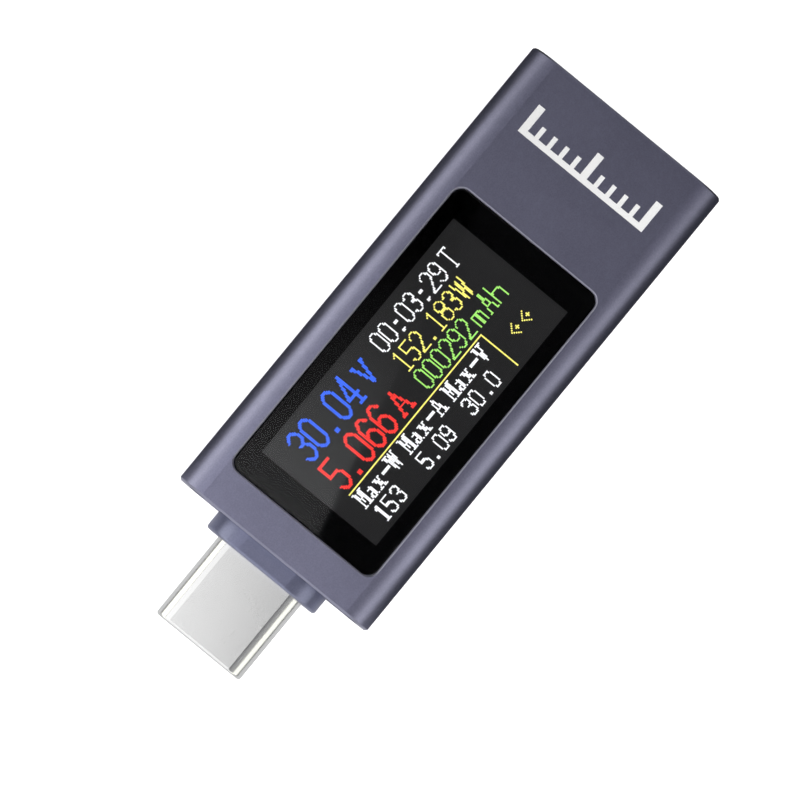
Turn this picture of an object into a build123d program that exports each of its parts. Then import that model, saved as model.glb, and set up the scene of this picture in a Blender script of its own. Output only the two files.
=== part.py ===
"""Inline USB-C power meter: an anodised aluminium sleeve with a colour display in its top face,
a USB-C plug on a collar at one end and a USB-C socket at the other.

Millimetres. +X runs from the plug to the socket, along the display's reading direction, +Y towards
the top of the displayed text and +Z out of the screen. The origin is the centre of the footprint,
on the plane of the underside.
"""

import os

from build123d import *

os.makedirs("parts", exist_ok=True)

# ---------------------------------------------------------------- driving dimensions

# Outside of the sleeve
BODY_LENGTH = 42.8
BODY_WIDTH = 18.5
BODY_HEIGHT = 9.0
BODY_RADIUS = 2.2
EDGE_BREAK = 0.15

# Collar and plug, in front of the sleeve
COLLAR_LENGTH = 1.55
COLLAR_WIDTH = 10.65
COLLAR_HEIGHT = 6.2
COLLAR_RADIUS = 3.05
COLLAR_EDGE = 0.25
PLUG_REACH = 7.55
PLUG_WIDTH = 8.25
PLUG_HEIGHT = 2.4
SHELL_WALL = 0.3
SHELL_TIP_RADIUS = 0.27

# Socket: the opening of a USB-C receptacle
SOCKET_WIDTH = 8.34
SOCKET_HEIGHT = 2.56
SOCKET_LENGTH = 7.25
TONGUE_WIDTH = 6.69
TONGUE_THICKNESS = 0.7

# USB-C contacts, twelve on each side
CONTACT_COUNT = 12
CONTACT_PITCH = 0.5
CONTACT_WIDTH = 0.25

# Walls of the sleeve
SIDE_WALL = 1.0
TOP_WALL = 1.3
BOTTOM_WALL = 0.9
CAVITY_RADIUS = 1.3
BOARD_SLOT_DEPTH = 0.35
CAP_THICKNESS = 1.6
CAP_RECESS = 0.25
CAP_MOUTH_EDGE = 0.2
JAW = 0.9
JAW_REACH = 1.6
JAW_SPACING = 13.6

# Cover glass, and the part of it that is left clear
GLASS_LENGTH = 27.7
GLASS_WIDTH = 13.9
GLASS_RADIUS = 0.95
GLASS_THICKNESS = 0.68
GLASS_RECESS = 0.07
GLASS_EDGE = 0.08
GLASS_TO_PLUG_END = 3.2
POCKET_DEPTH = 0.9
POCKET_EDGE = 0.1
MASK_THICKNESS = 0.05
MASK_BOND = 0.01
VIEW_LENGTH = 23.1
VIEW_WIDTH = 11.3
OPENING_LENGTH = 24.5
OPENING_WIDTH = 12.4
TAPE_MARGIN = 0.15

# Display module: a 0.96 inch colour panel
MODULE_LENGTH = 27.95
MODULE_WIDTH = 13.5
MODULE_THICKNESS = 1.5
MODULE_CORNER = 0.4
FRAME_WALL = 0.3
FRAME_END_LEDGE = 0.8
FRAME_SIDE_LEDGE = 0.6
BACKLIGHT_THICKNESS = 0.7
LED_DEPTH = 0.6
LED_WIDTH = 2.6
LED_SPACING = 4.0
CELL_GLASS = 0.3
DRIVER_LEDGE = 1.7
DRIVER_CHIP_WIDTH = 0.6
DRIVER_CHIP_LENGTH = 9.6
FLEX_WIDTH = 8.0
FLEX_TAIL = 4.0
FILM = 0.1

# Board, button and switch
BOARD_THICKNESS = 1.0
BOARD_CORNER = 0.4
BUTTON_RADIUS = 1.6
BUTTON_EDGE = 0.2
BUTTON_RECESS = 0.15
BUTTON_X = 14.6
FLANGE_RADIUS = 2.3
FLANGE_THICKNESS = 0.4
STEM_RADIUS = 1.0
DISH_RADIUS = 2.7
DISH_DEPTH = 0.35
DISH_TAPER = 60
SWITCH_HEIGHT = 1.1
SWITCH_SIDE = 3.6
SWITCH_CORNER = 0.3
SWITCH_COVER = 0.12
PLUNGER_RADIUS = 0.8
PLUNGER_COLLAR_RADIUS = 1.1
PLUNGER_REACH = 0.4

FIT_GAP = 0.05

# ---------------------------------------------------------------- places worked out from them

TIP_X = -(PLUG_REACH + COLLAR_LENGTH + BODY_LENGTH) / 2
COLLAR_X = TIP_X + PLUG_REACH
START_X = COLLAR_X + COLLAR_LENGTH
END_X = START_X + BODY_LENGTH
MID_Z = BODY_HEIGHT / 2

CAVITY_WIDTH = BODY_WIDTH - 2 * SIDE_WALL
CAVITY_HEIGHT = BODY_HEIGHT - TOP_WALL - BOTTOM_WALL
CAVITY_Z = BOTTOM_WALL + CAVITY_HEIGHT / 2
CAVITY_TOP = BODY_HEIGHT - TOP_WALL

GLASS_X = START_X + GLASS_TO_PLUG_END + GLASS_LENGTH / 2
GLASS_BOTTOM = BODY_HEIGHT - GLASS_RECESS - GLASS_THICKNESS
POCKET_FLOOR = BODY_HEIGHT - POCKET_DEPTH

BOARD_BOTTOM = MID_Z - BOARD_THICKNESS / 2
BOARD_TOP = MID_Z + BOARD_THICKNESS / 2
BOARD_WIDTH = CAVITY_WIDTH + 2 * (BOARD_SLOT_DEPTH - FIT_GAP)
BOARD_START = START_X + CAP_RECESS + CAP_THICKNESS + 0.2
BOARD_END = END_X - CAP_RECESS - CAP_THICKNESS - 0.1

SHELL_WIDTH = SOCKET_WIDTH + 2 * SHELL_WALL
SHELL_HEIGHT = SOCKET_HEIGHT + 2 * SHELL_WALL
SOCKET_MOUTH = END_X - CAP_RECESS - FIT_GAP
SOCKET_BACK = SOCKET_MOUTH - SOCKET_LENGTH

MODULE_BOTTOM = CAVITY_TOP - FIT_GAP - MODULE_THICKNESS
MODULE_START = GLASS_X - MODULE_LENGTH / 2
MODULE_END = GLASS_X + MODULE_LENGTH / 2

CONTACT_ROWS = [(i - (CONTACT_COUNT - 1) / 2) * CONTACT_PITCH for i in range(CONTACT_COUNT)]


# ---------------------------------------------------------------- helpers


def section(x):
    """The plane across the meter at x: its own x runs along +Y and its own y along +Z."""
    return Plane(origin=(x, 0, 0), x_dir=(0, 1, 0), z_dir=(1, 0, 0))


def save(piece, name):
    """Label a finished piece and write it as its own STEP file."""
    piece.part.label = name
    export_step(piece.part, f"parts/{name}.step")


def plate(length, width, thickness, x, z):
    """A flat sheet, length along X and width along Y, centred on x and lying on the plane z."""
    with BuildPart() as made:
        with BuildSketch(Plane.XY.offset(z)):
            with Locations((x, 0)):
                Rectangle(length, width)
        extrude(amount=thickness)
    return made


def disc(radius, z_low, z_high):
    """A round of the button's column, from z_low to z_high."""
    with BuildPart() as made:
        with BuildSketch(Plane.XY.offset(z_low)):
            with Locations((BUTTON_X, 0)):
                Circle(radius)
        extrude(amount=z_high - z_low)
    return made


def strips(route, thickness):
    """The twelve contacts of one side: flat metal whose side view follows route in the XZ plane."""
    with BuildPart() as made:
        for y in CONTACT_ROWS:
            with BuildSketch(Plane.XZ.offset(-y)):
                with BuildLine():
                    Polyline(*route)
                trace(line_width=thickness)
            extrude(amount=CONTACT_WIDTH / 2, both=True)
    return made


def blocks(size, places, surface, side, edge=0.0):
    """Equal box-shaped parts at each (x, y), standing on a face of the board, up or down from it."""
    length, width, height = size
    with BuildPart() as made:
        with BuildSketch(Plane.XY.offset(surface)):
            with Locations(*places):
                Rectangle(length, width)
        extrude(amount=side * height)
        if edge:
            levels = made.faces().filter_by(Axis.Z).group_by(Axis.Z)
            chamfer(levels[-1 if side > 0 else 0].edges(), edge)
    return made


# ---------------------------------------------------------------- sleeve

with BuildPart() as housing:
    with BuildSketch(section(START_X)):
        with Locations((0, MID_Z)):
            RectangleRounded(BODY_WIDTH, BODY_HEIGHT, BODY_RADIUS)
    extrude(amount=BODY_LENGTH)
    # The cavity, with a slot down each side for the board's edges
    with BuildSketch(section(START_X)):
        with Locations((0, CAVITY_Z)):
            RectangleRounded(CAVITY_WIDTH, CAVITY_HEIGHT, CAVITY_RADIUS)
        with Locations((0, MID_Z)):
            Rectangle(CAVITY_WIDTH + 2 * BOARD_SLOT_DEPTH, BOARD_THICKNESS + 2 * FIT_GAP)
    extrude(amount=BODY_LENGTH, mode=Mode.SUBTRACT)
    # The glass sits in a pocket, on a ledge around the opening over the display
    with BuildSketch(Plane.XY.offset(BODY_HEIGHT)):
        with Locations((GLASS_X, 0)):
            RectangleRounded(GLASS_LENGTH + 2 * FIT_GAP, GLASS_WIDTH + 2 * FIT_GAP, GLASS_RADIUS)
    extrude(amount=-POCKET_DEPTH, mode=Mode.SUBTRACT)
    with BuildSketch(Plane.XY.offset(POCKET_FLOOR)):
        with Locations((GLASS_X, 0)):
            RectangleRounded(OPENING_LENGTH, OPENING_WIDTH, GLASS_RADIUS / 2)
    extrude(amount=-TOP_WALL, mode=Mode.SUBTRACT)
    # The button's hole, in a shallow dish that a fingertip finds
    with BuildSketch(Plane.XY):
        with Locations((BUTTON_X, 0)):
            Circle(BUTTON_RADIUS + FIT_GAP)
    extrude(amount=BOTTOM_WALL, mode=Mode.SUBTRACT)
    with BuildSketch(Plane.XY):
        with Locations((BUTTON_X, 0)):
            Circle(DISH_RADIUS)
    extrude(amount=DISH_DEPTH, taper=DISH_TAPER, mode=Mode.SUBTRACT)
    # Broken edges: both ends of the sleeve, and the rim of the glass pocket
    ends = housing.faces().filter_by(Axis.X).group_by(Axis.X)
    rims = [edge for face in (*ends[0], *ends[-1]) for edge in face.outer_wire().edges()]
    chamfer(rims, EDGE_BREAK)
    top_face = housing.faces().filter_by(Axis.Z).sort_by(Axis.Z)[-1]
    chamfer(top_face.inner_wires()[0].edges(), POCKET_EDGE)
save(housing, "housing")

# ---------------------------------------------------------------- end caps


def end_plate(x):
    """A plate that closes the cavity from x on, with a key in each of the board's slots."""
    with BuildPart() as made:
        with BuildSketch(section(x)):
            with Locations((0, CAVITY_Z)):
                RectangleRounded(
                    CAVITY_WIDTH - 2 * FIT_GAP, CAVITY_HEIGHT - 2 * FIT_GAP, CAVITY_RADIUS - FIT_GAP
                )
            with Locations((0, MID_Z)):
                Rectangle(BOARD_WIDTH, BOARD_THICKNESS)
        extrude(amount=CAP_THICKNESS)
    return made


plug_plate_x = START_X + CAP_RECESS
plug_plate = end_plate(plug_plate_x)
with BuildPart() as plug_end_cap:
    add(plug_plate.part)
    with BuildSketch(section(COLLAR_X)):
        with Locations((0, MID_Z)):
            RectangleRounded(COLLAR_WIDTH, COLLAR_HEIGHT, COLLAR_RADIUS)
    extrude(amount=plug_plate_x - COLLAR_X)
    fillet(plug_end_cap.faces().sort_by(Axis.X)[0].edges(), COLLAR_EDGE)
    # Jaws above and below the board's front edge, at both sides
    with BuildSketch(section(plug_plate_x + CAP_THICKNESS)):
        with Locations((0, MID_Z)):
            with GridLocations(JAW_SPACING, BOARD_THICKNESS + 2 * FIT_GAP + JAW, 2, 2):
                Rectangle(2 * JAW, JAW)
    extrude(amount=JAW_REACH)
    with BuildSketch(section(COLLAR_X)):
        with Locations((0, MID_Z)):
            SlotOverall(PLUG_WIDTH + FIT_GAP, PLUG_HEIGHT + FIT_GAP)
    extrude(amount=COLLAR_LENGTH + CAP_RECESS + CAP_THICKNESS, mode=Mode.SUBTRACT)
save(plug_end_cap, "plug_end_cap")

socket_plate_x = END_X - CAP_RECESS - CAP_THICKNESS
socket_plate = end_plate(socket_plate_x)
with BuildPart() as socket_end_cap:
    add(socket_plate.part)
    with BuildSketch(section(socket_plate_x)):
        with Locations((0, MID_Z)):
            SlotOverall(SHELL_WIDTH + FIT_GAP, SHELL_HEIGHT + FIT_GAP)
    extrude(amount=CAP_THICKNESS, mode=Mode.SUBTRACT)
    outer_face = socket_end_cap.faces().filter_by(Axis.X).sort_by(Axis.X)[-1]
    chamfer(outer_face.inner_wires()[0].edges(), CAP_MOUTH_EDGE)
save(socket_end_cap, "socket_end_cap")

# ---------------------------------------------------------------- cover glass, mask and tape

with BuildPart() as cover_glass:
    with BuildSketch(Plane.XY.offset(GLASS_BOTTOM)):
        with Locations((GLASS_X, 0)):
            RectangleRounded(GLASS_LENGTH, GLASS_WIDTH, GLASS_RADIUS)
    extrude(amount=GLASS_THICKNESS)
    chamfer(cover_glass.faces().sort_by(Axis.Z)[-1].edges(), GLASS_EDGE)
save(cover_glass, "cover_glass")

# The printed mask lies a bond line's thickness under the glass
with BuildPart() as glass_mask:
    with BuildSketch(Plane.XY.offset(GLASS_BOTTOM - MASK_THICKNESS)):
        with Locations((GLASS_X, 0)):
            RectangleRounded(GLASS_LENGTH, GLASS_WIDTH, GLASS_RADIUS)
            Rectangle(VIEW_LENGTH, VIEW_WIDTH, mode=Mode.SUBTRACT)
    extrude(amount=MASK_THICKNESS - MASK_BOND)
save(glass_mask, "glass_mask")

with BuildPart() as window_tape:
    with BuildSketch(Plane.XY.offset(POCKET_FLOOR)):
        with Locations((GLASS_X, 0)):
            RectangleRounded(
                GLASS_LENGTH - 2 * TAPE_MARGIN, GLASS_WIDTH - 2 * TAPE_MARGIN, GLASS_RADIUS
            )
            RectangleRounded(
                OPENING_LENGTH + 0.2, OPENING_WIDTH + 0.2, GLASS_RADIUS / 2, mode=Mode.SUBTRACT
            )
    extrude(amount=GLASS_BOTTOM - MASK_THICKNESS - POCKET_FLOOR)
save(window_tape, "window_tape")

# ---------------------------------------------------------------- display module, from the back

GUIDE_LENGTH = MODULE_LENGTH - 2 * FRAME_END_LEDGE
GUIDE_WIDTH = MODULE_WIDTH - 2 * FRAME_SIDE_LEDGE
CELL_LENGTH = MODULE_LENGTH - 2 * (FRAME_WALL + FIT_GAP)
CELL_WIDTH = MODULE_WIDTH - 2 * (FRAME_WALL + FIT_GAP)
SHEET_LENGTH = GUIDE_LENGTH - 2 * FIT_GAP
SHEET_WIDTH = GUIDE_WIDTH - 2 * FIT_GAP
CELL_FLOOR = MODULE_BOTTOM + BACKLIGHT_THICKNESS
REAR_GLASS_Z = CELL_FLOOR + FILM
FRONT_GLASS_Z = REAR_GLASS_Z + CELL_GLASS
FRONT_LENGTH = CELL_LENGTH - DRIVER_LEDGE
FRONT_X = GLASS_X - DRIVER_LEDGE / 2
LEDGE_X = GLASS_X + CELL_LENGTH / 2 - DRIVER_LEDGE

with BuildPart() as display_frame:
    with BuildSketch(Plane.XY.offset(MODULE_BOTTOM)):
        with Locations((GLASS_X, 0)):
            RectangleRounded(MODULE_LENGTH, MODULE_WIDTH, MODULE_CORNER)
            Rectangle(GUIDE_LENGTH, GUIDE_WIDTH, mode=Mode.SUBTRACT)
    extrude(amount=MODULE_THICKNESS)
    with BuildSketch(Plane.XY.offset(CELL_FLOOR)):
        with Locations((GLASS_X, 0)):
            Rectangle(CELL_LENGTH + 2 * FIT_GAP, CELL_WIDTH + 2 * FIT_GAP)
    extrude(amount=MODULE_THICKNESS, mode=Mode.SUBTRACT)
    # A notch in the end wall lets the flexible circuit out
    with BuildSketch(Plane.XY.offset(REAR_GLASS_Z)):
        with Locations((MODULE_END, 0)):
            Rectangle(2 * FRAME_WALL + 0.2, FLEX_WIDTH + 0.4)
    extrude(amount=MODULE_THICKNESS, mode=Mode.SUBTRACT)
save(display_frame, "display_frame")

reflector_sheet = plate(SHEET_LENGTH, SHEET_WIDTH, FILM, GLASS_X, MODULE_BOTTOM)
save(reflector_sheet, "reflector_sheet")

GUIDE_THICKNESS = CELL_FLOOR - MODULE_BOTTOM - 2 * FILM
light_guide = plate(
    GUIDE_LENGTH - LED_DEPTH - 6 * FIT_GAP,
    SHEET_WIDTH,
    GUIDE_THICKNESS,
    GLASS_X + LED_DEPTH / 2 + 2 * FIT_GAP,
    MODULE_BOTTOM + FILM,
)
save(light_guide, "light_guide")

led_x = GLASS_X - GUIDE_LENGTH / 2 + LED_DEPTH / 2 + FIT_GAP
led_places = [(led_x, y) for y in (-LED_SPACING, 0, LED_SPACING)]
backlight_leds = blocks(
    (LED_DEPTH, LED_WIDTH, GUIDE_THICKNESS), led_places, MODULE_BOTTOM + FILM, side=1
)
save(backlight_leds, "backlight_leds")

diffuser_sheet = plate(SHEET_LENGTH, SHEET_WIDTH, FILM, GLASS_X, CELL_FLOOR - FILM)
save(diffuser_sheet, "diffuser_sheet")

rear_polariser = plate(CELL_LENGTH - 2.0, CELL_WIDTH - 0.4, FILM, GLASS_X, CELL_FLOOR)
save(rear_polariser, "rear_polariser")

rear_cell_glass = plate(CELL_LENGTH, CELL_WIDTH, CELL_GLASS, GLASS_X, REAR_GLASS_Z)
save(rear_cell_glass, "rear_cell_glass")

front_cell_glass = plate(FRONT_LENGTH, CELL_WIDTH, CELL_GLASS, FRONT_X, FRONT_GLASS_Z)
save(front_cell_glass, "front_cell_glass")

front_polariser = plate(
    FRONT_LENGTH - 0.2, CELL_WIDTH - 0.3, FILM, FRONT_X, FRONT_GLASS_Z + CELL_GLASS
)
save(front_polariser, "front_polariser")

driver_size = (DRIVER_CHIP_WIDTH, DRIVER_CHIP_LENGTH, CELL_GLASS - FIT_GAP)
display_driver = blocks(driver_size, [(LEDGE_X + 0.45, 0)], FRONT_GLASS_Z, side=1)
save(display_driver, "display_driver")

# The flexible circuit leaves the rear glass, turns down past the module's end and lies on the board
FLEX_UPPER = FRONT_GLASS_Z + FILM / 2
FLEX_LOWER = BOARD_TOP + FILM / 2
FLEX_BEND = (FLEX_UPPER - FLEX_LOWER) / 2
FLEX_TURN_X = MODULE_END + 0.02
FLEX_TAIL_X = MODULE_END - FLEX_TAIL
with BuildPart() as display_flex:
    with BuildSketch(Plane.XZ):
        with BuildLine():
            Line((LEDGE_X + 0.95, FLEX_UPPER), (FLEX_TURN_X, FLEX_UPPER))
            CenterArc((FLEX_TURN_X, FLEX_UPPER - FLEX_BEND), FLEX_BEND, 90, -180)
            Line((FLEX_TURN_X, FLEX_LOWER), (FLEX_TAIL_X, FLEX_LOWER))
        trace(line_width=FILM)
    extrude(amount=FLEX_WIDTH / 2, both=True)
save(display_flex, "display_flex")

with BuildPart() as display_foam:
    foam_end = FLEX_TAIL_X - 0.5
    with BuildSketch(Plane.XY.offset(BOARD_TOP)):
        with Locations(((MODULE_START + foam_end) / 2, 0)):
            RectangleRounded(foam_end - MODULE_START, MODULE_WIDTH - 2.5, 0.3)
    extrude(amount=MODULE_BOTTOM - BOARD_TOP)
save(display_foam, "display_foam")

# ---------------------------------------------------------------- board

with BuildPart() as main_board:
    with BuildSketch(Plane.XY.offset(BOARD_BOTTOM)):
        with Locations(((BOARD_START + BOARD_END) / 2, 0)):
            RectangleRounded(BOARD_END - BOARD_START, BOARD_WIDTH, BOARD_CORNER)
        # The socket sits in this notch, level with the board
        with Locations((BOARD_END, 0)):
            Rectangle(2 * (BOARD_END - SOCKET_BACK + 0.2), SHELL_WIDTH + 0.3, mode=Mode.SUBTRACT)
    extrude(amount=BOARD_THICKNESS)
save(main_board, "main_board")

# ---------------------------------------------------------------- plug

SHELL_BACK = START_X + CAP_RECESS + CAP_THICKNESS - 0.1
INSERT_FRONT = TIP_X + 0.45
INSERT_BACK = BOARD_START - FIT_GAP
INSERT_GAP = 0.03
INSERT_WIDTH = PLUG_WIDTH - 2 * SHELL_WALL - 2 * INSERT_GAP
INSERT_HEIGHT = PLUG_HEIGHT - 2 * SHELL_WALL - 2 * INSERT_GAP
PLUG_STRIP = 0.15
LATCH_STRIP = 0.18
LATCH_WIDTH = 0.7
LATCH_Y = 3.5
YOKE_LENGTH = 0.6
YOKE_THICKNESS = 0.2
SPRING_LENGTH = 0.5
SPRING_WIDTH = 5.2
FINGER_LENGTH = 0.3
FINGER_WIDTH = 0.6
FINGER_PITCH = 1.3
PLUG_MOUTH_HEIGHT = 1.24
PLUG_MOUTH_DEPTH = 5.4

with BuildPart() as plug_shell:
    with BuildSketch(section(TIP_X)):
        with Locations((0, MID_Z)):
            SlotOverall(PLUG_WIDTH, PLUG_HEIGHT)
    extrude(amount=SHELL_BACK - TIP_X)
    with BuildSketch(section(TIP_X)):
        with Locations((0, MID_Z)):
            SlotOverall(PLUG_WIDTH - 2 * SHELL_WALL, PLUG_HEIGHT - 2 * SHELL_WALL)
    extrude(amount=SHELL_BACK - TIP_X, mode=Mode.SUBTRACT)
    front_rim = plug_shell.faces().filter_by(Axis.X).sort_by(Axis.X)[0]
    fillet(front_rim.outer_wire().edges(), SHELL_TIP_RADIUS)
save(plug_shell, "plug_shell")


def plug_route(side):
    """Side view of a spring contact: a tail on the board, a straight root and a bowed tip."""
    tail = MID_Z + side * (BOARD_THICKNESS + PLUG_STRIP) / 2
    return [
        (BOARD_START + 0.75, tail),
        (TIP_X + 5.6, tail),
        (TIP_X + 2.0, MID_Z + side * 0.46),
        (TIP_X + 1.2, MID_Z + side * 0.56),
    ]


plug_contacts_upper = strips(plug_route(1), PLUG_STRIP)
save(plug_contacts_upper, "plug_contacts_upper")

plug_contacts_lower = strips(plug_route(-1), PLUG_STRIP)
save(plug_contacts_lower, "plug_contacts_lower")

# Two spring arms, one at each side of the mouth, hold a socket's tongue; a yoke joins them behind
with BuildPart() as plug_latch:
    for side in (-1, 1):
        with BuildSketch(Plane.XY.offset(MID_Z - LATCH_WIDTH / 2)):
            with BuildLine():
                Polyline(
                    (TIP_X + 8.9, side * LATCH_Y),
                    (TIP_X + 3.0, side * LATCH_Y),
                    (TIP_X + 2.0, side * (LATCH_Y - 0.22)),
                    (TIP_X + 1.2, side * (LATCH_Y - 0.02)),
                )
            trace(line_width=LATCH_STRIP)
        extrude(amount=LATCH_WIDTH)
    with BuildSketch(Plane.XY.offset(MID_Z - YOKE_THICKNESS / 2)):
        with Locations((TIP_X + 8.7, 0)):
            Rectangle(YOKE_LENGTH, 2 * LATCH_Y)
    extrude(amount=YOKE_THICKNESS)
save(plug_latch, "plug_latch")

# Ground springs: one strip above and one below the mouth, with four fingers reaching into it
with BuildPart() as plug_ground_springs:
    strip_z = INSERT_HEIGHT / 2 - 0.13
    for side in (-1, 1):
        with BuildSketch(Plane.XY.offset(MID_Z + side * strip_z)):
            with Locations((TIP_X + 0.8, 0)):
                Rectangle(SPRING_LENGTH, SPRING_WIDTH)
        extrude(amount=FILM / 2, both=True)
        with BuildSketch(Plane.XY.offset(MID_Z + side * strip_z)):
            with Locations((TIP_X + 0.8, 0)):
                with GridLocations(0, FINGER_PITCH, 1, 4):
                    Rectangle(FINGER_LENGTH, FINGER_WIDTH)
        extrude(amount=-side * 0.2)
save(plug_ground_springs, "plug_ground_springs")

with BuildPart() as plug_insert:
    with BuildSketch(section(INSERT_FRONT)):
        with Locations((0, MID_Z)):
            SlotOverall(INSERT_WIDTH, INSERT_HEIGHT)
    extrude(amount=INSERT_BACK - INSERT_FRONT)
    # The mouth that takes a socket's tongue
    with BuildSketch(section(INSERT_FRONT)):
        with Locations((0, MID_Z)):
            RectangleRounded(TONGUE_WIDTH + 0.12, PLUG_MOUTH_HEIGHT, 0.2)
    extrude(amount=PLUG_MOUTH_DEPTH, mode=Mode.SUBTRACT)
    for metal in (plug_contacts_upper, plug_contacts_lower, plug_latch, plug_ground_springs):
        add(metal.part, mode=Mode.SUBTRACT)
save(plug_insert, "plug_insert")

# ---------------------------------------------------------------- socket

FOOT = 1.6
FOOT_WIDTH = 1.0
FOOT_THICKNESS = 0.25
FOOT_SPACING = 3.2
SOCKET_LIP = 0.12
with BuildPart() as socket_shell:
    with BuildSketch(section(SOCKET_BACK)):
        with Locations((0, MID_Z)):
            SlotOverall(SHELL_WIDTH, SHELL_HEIGHT)
    extrude(amount=SOCKET_LENGTH)
    # Four feet stand on the board, two beside each wall
    with BuildSketch(Plane.XY.offset(BOARD_TOP)):
        with Locations((SOCKET_BACK + 3.0, 0)):
            with GridLocations(FOOT_SPACING, SHELL_WIDTH + FOOT / 2, 2, 2):
                Rectangle(FOOT_WIDTH, FOOT)
    extrude(amount=FOOT_THICKNESS)
    with BuildSketch(section(SOCKET_BACK)):
        with Locations((0, MID_Z)):
            SlotOverall(SOCKET_WIDTH, SOCKET_HEIGHT)
    extrude(amount=SOCKET_LENGTH, mode=Mode.SUBTRACT)
    lip = socket_shell.faces().filter_by(Axis.X).sort_by(Axis.X)[-1]
    chamfer(lip.inner_wires()[0].edges(), SOCKET_LIP)
save(socket_shell, "socket_shell")

TONGUE_END = SOCKET_MOUTH - 0.9
BASE_END = SOCKET_BACK + 1.4
SOCKET_STRIP = 0.12


def socket_route(side):
    """Side view of a fixed contact: a pad along the tongue, a step and a tail on the board."""
    pad = MID_Z + side * (TONGUE_THICKNESS / 2 - 0.02)
    tail = MID_Z + side * (BOARD_THICKNESS + SOCKET_STRIP) / 2
    return [
        (TONGUE_END - 0.5, pad),
        (SOCKET_BACK + 0.6, pad),
        (SOCKET_BACK + 0.2, tail),
        (SOCKET_BACK - 1.2, tail),
    ]


socket_contacts_upper = strips(socket_route(1), SOCKET_STRIP)
save(socket_contacts_upper, "socket_contacts_upper")

socket_contacts_lower = strips(socket_route(-1), SOCKET_STRIP)
save(socket_contacts_lower, "socket_contacts_lower")

# The steel plate between the two rows of contacts shows at both edges of the tongue
MID_PLATE_WIDTH = TONGUE_WIDTH + 0.1
MID_PLATE_THICKNESS = 0.15
with BuildPart() as socket_mid_plate:
    with BuildSketch(Plane.XY.offset(MID_Z)):
        with Locations(((SOCKET_BACK + TONGUE_END) / 2, 0)):
            Rectangle(TONGUE_END - SOCKET_BACK - 0.6, MID_PLATE_WIDTH)
        with Locations((TONGUE_END - 1.6, 0)):
            with GridLocations(0, MID_PLATE_WIDTH, 1, 2):
                Rectangle(0.8, 0.5, mode=Mode.SUBTRACT)
    extrude(amount=MID_PLATE_THICKNESS / 2, both=True)
save(socket_mid_plate, "socket_mid_plate")

ROOT_THICKNESS = 1.3
ROOT_LENGTH = 0.9
with BuildPart() as socket_tongue:
    with BuildSketch(section(SOCKET_BACK)):
        with Locations((0, MID_Z)):
            SlotOverall(SOCKET_WIDTH - 0.04, SOCKET_HEIGHT - 0.04)
    extrude(amount=BASE_END - SOCKET_BACK)
    with BuildSketch(section(BASE_END)):
        with Locations((0, MID_Z)):
            RectangleRounded(TONGUE_WIDTH, TONGUE_THICKNESS, 0.1)
    extrude(amount=TONGUE_END - BASE_END)
    # A thicker root strengthens the tongue where it meets the base
    with BuildSketch(section(BASE_END)):
        with Locations((0, MID_Z)):
            Rectangle(TONGUE_WIDTH, ROOT_THICKNESS)
    extrude(amount=ROOT_LENGTH)
    for metal in (socket_contacts_upper, socket_contacts_lower, socket_mid_plate):
        add(metal.part, mode=Mode.SUBTRACT)
save(socket_tongue, "socket_tongue")

# ---------------------------------------------------------------- button and its switch

SWITCH_FACE = BOARD_BOTTOM - SWITCH_HEIGHT
PLUNGER_TIP = SWITCH_FACE - PLUNGER_REACH
PLUNGER_TOP = SWITCH_FACE + 0.55
FLANGE_Z = BOTTOM_WALL + FILM + FIT_GAP

button_face = disc(BUTTON_RADIUS, BUTTON_RECESS, FLANGE_Z)
button_flange = disc(FLANGE_RADIUS, FLANGE_Z, FLANGE_Z + FLANGE_THICKNESS)
button_stem = disc(STEM_RADIUS, FLANGE_Z, PLUNGER_TIP)
with BuildPart() as clear_button:
    add(button_face.part)
    add(button_flange.part)
    add(button_stem.part)
    fillet(clear_button.faces().sort_by(Axis.Z)[0].edges(), BUTTON_EDGE)
save(clear_button, "clear_button")

plunger_pin = disc(PLUNGER_RADIUS, PLUNGER_TIP, PLUNGER_TOP)
plunger_collar = disc(PLUNGER_COLLAR_RADIUS, SWITCH_FACE + SWITCH_COVER + 0.02, SWITCH_FACE + 0.35)
with BuildPart() as switch_plunger:
    add(plunger_pin.part)
    add(plunger_collar.part)
save(switch_plunger, "switch_plunger")

LUG_WIDTH = 1.2
LUG_THICKNESS = 0.2
LUG_HEIGHT = 0.8
with BuildPart() as switch_cover:
    with BuildSketch(Plane.XY.offset(SWITCH_FACE)):
        with Locations((BUTTON_X, 0)):
            RectangleRounded(SWITCH_SIDE, SWITCH_SIDE, SWITCH_CORNER)
            Circle(PLUNGER_RADIUS + FIT_GAP, mode=Mode.SUBTRACT)
    extrude(amount=SWITCH_COVER)
    # Two lugs fold over the sides of the base
    with BuildSketch(Plane.XY.offset(SWITCH_FACE)):
        with Locations((BUTTON_X, 0)):
            with GridLocations(0, SWITCH_SIDE + LUG_THICKNESS, 1, 2):
                Rectangle(LUG_WIDTH, LUG_THICKNESS)
    extrude(amount=LUG_HEIGHT)
save(switch_cover, "switch_cover")

# The well in the base that the dome and the plunger work in
WELL_RADIUS = 1.4
WELL_FLOOR = BOARD_BOTTOM - 0.15
with BuildPart() as switch_base:
    with BuildSketch(Plane.XY.offset(SWITCH_FACE + SWITCH_COVER)):
        with Locations((BUTTON_X, 0)):
            RectangleRounded(SWITCH_SIDE, SWITCH_SIDE, SWITCH_CORNER)
    extrude(amount=SWITCH_HEIGHT - SWITCH_COVER)
    with BuildSketch(Plane.XY.offset(SWITCH_FACE + SWITCH_COVER)):
        with Locations((BUTTON_X, 0)):
            Circle(WELL_RADIUS)
    extrude(amount=WELL_FLOOR - SWITCH_FACE - SWITCH_COVER, mode=Mode.SUBTRACT)
save(switch_base, "switch_base")

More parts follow.
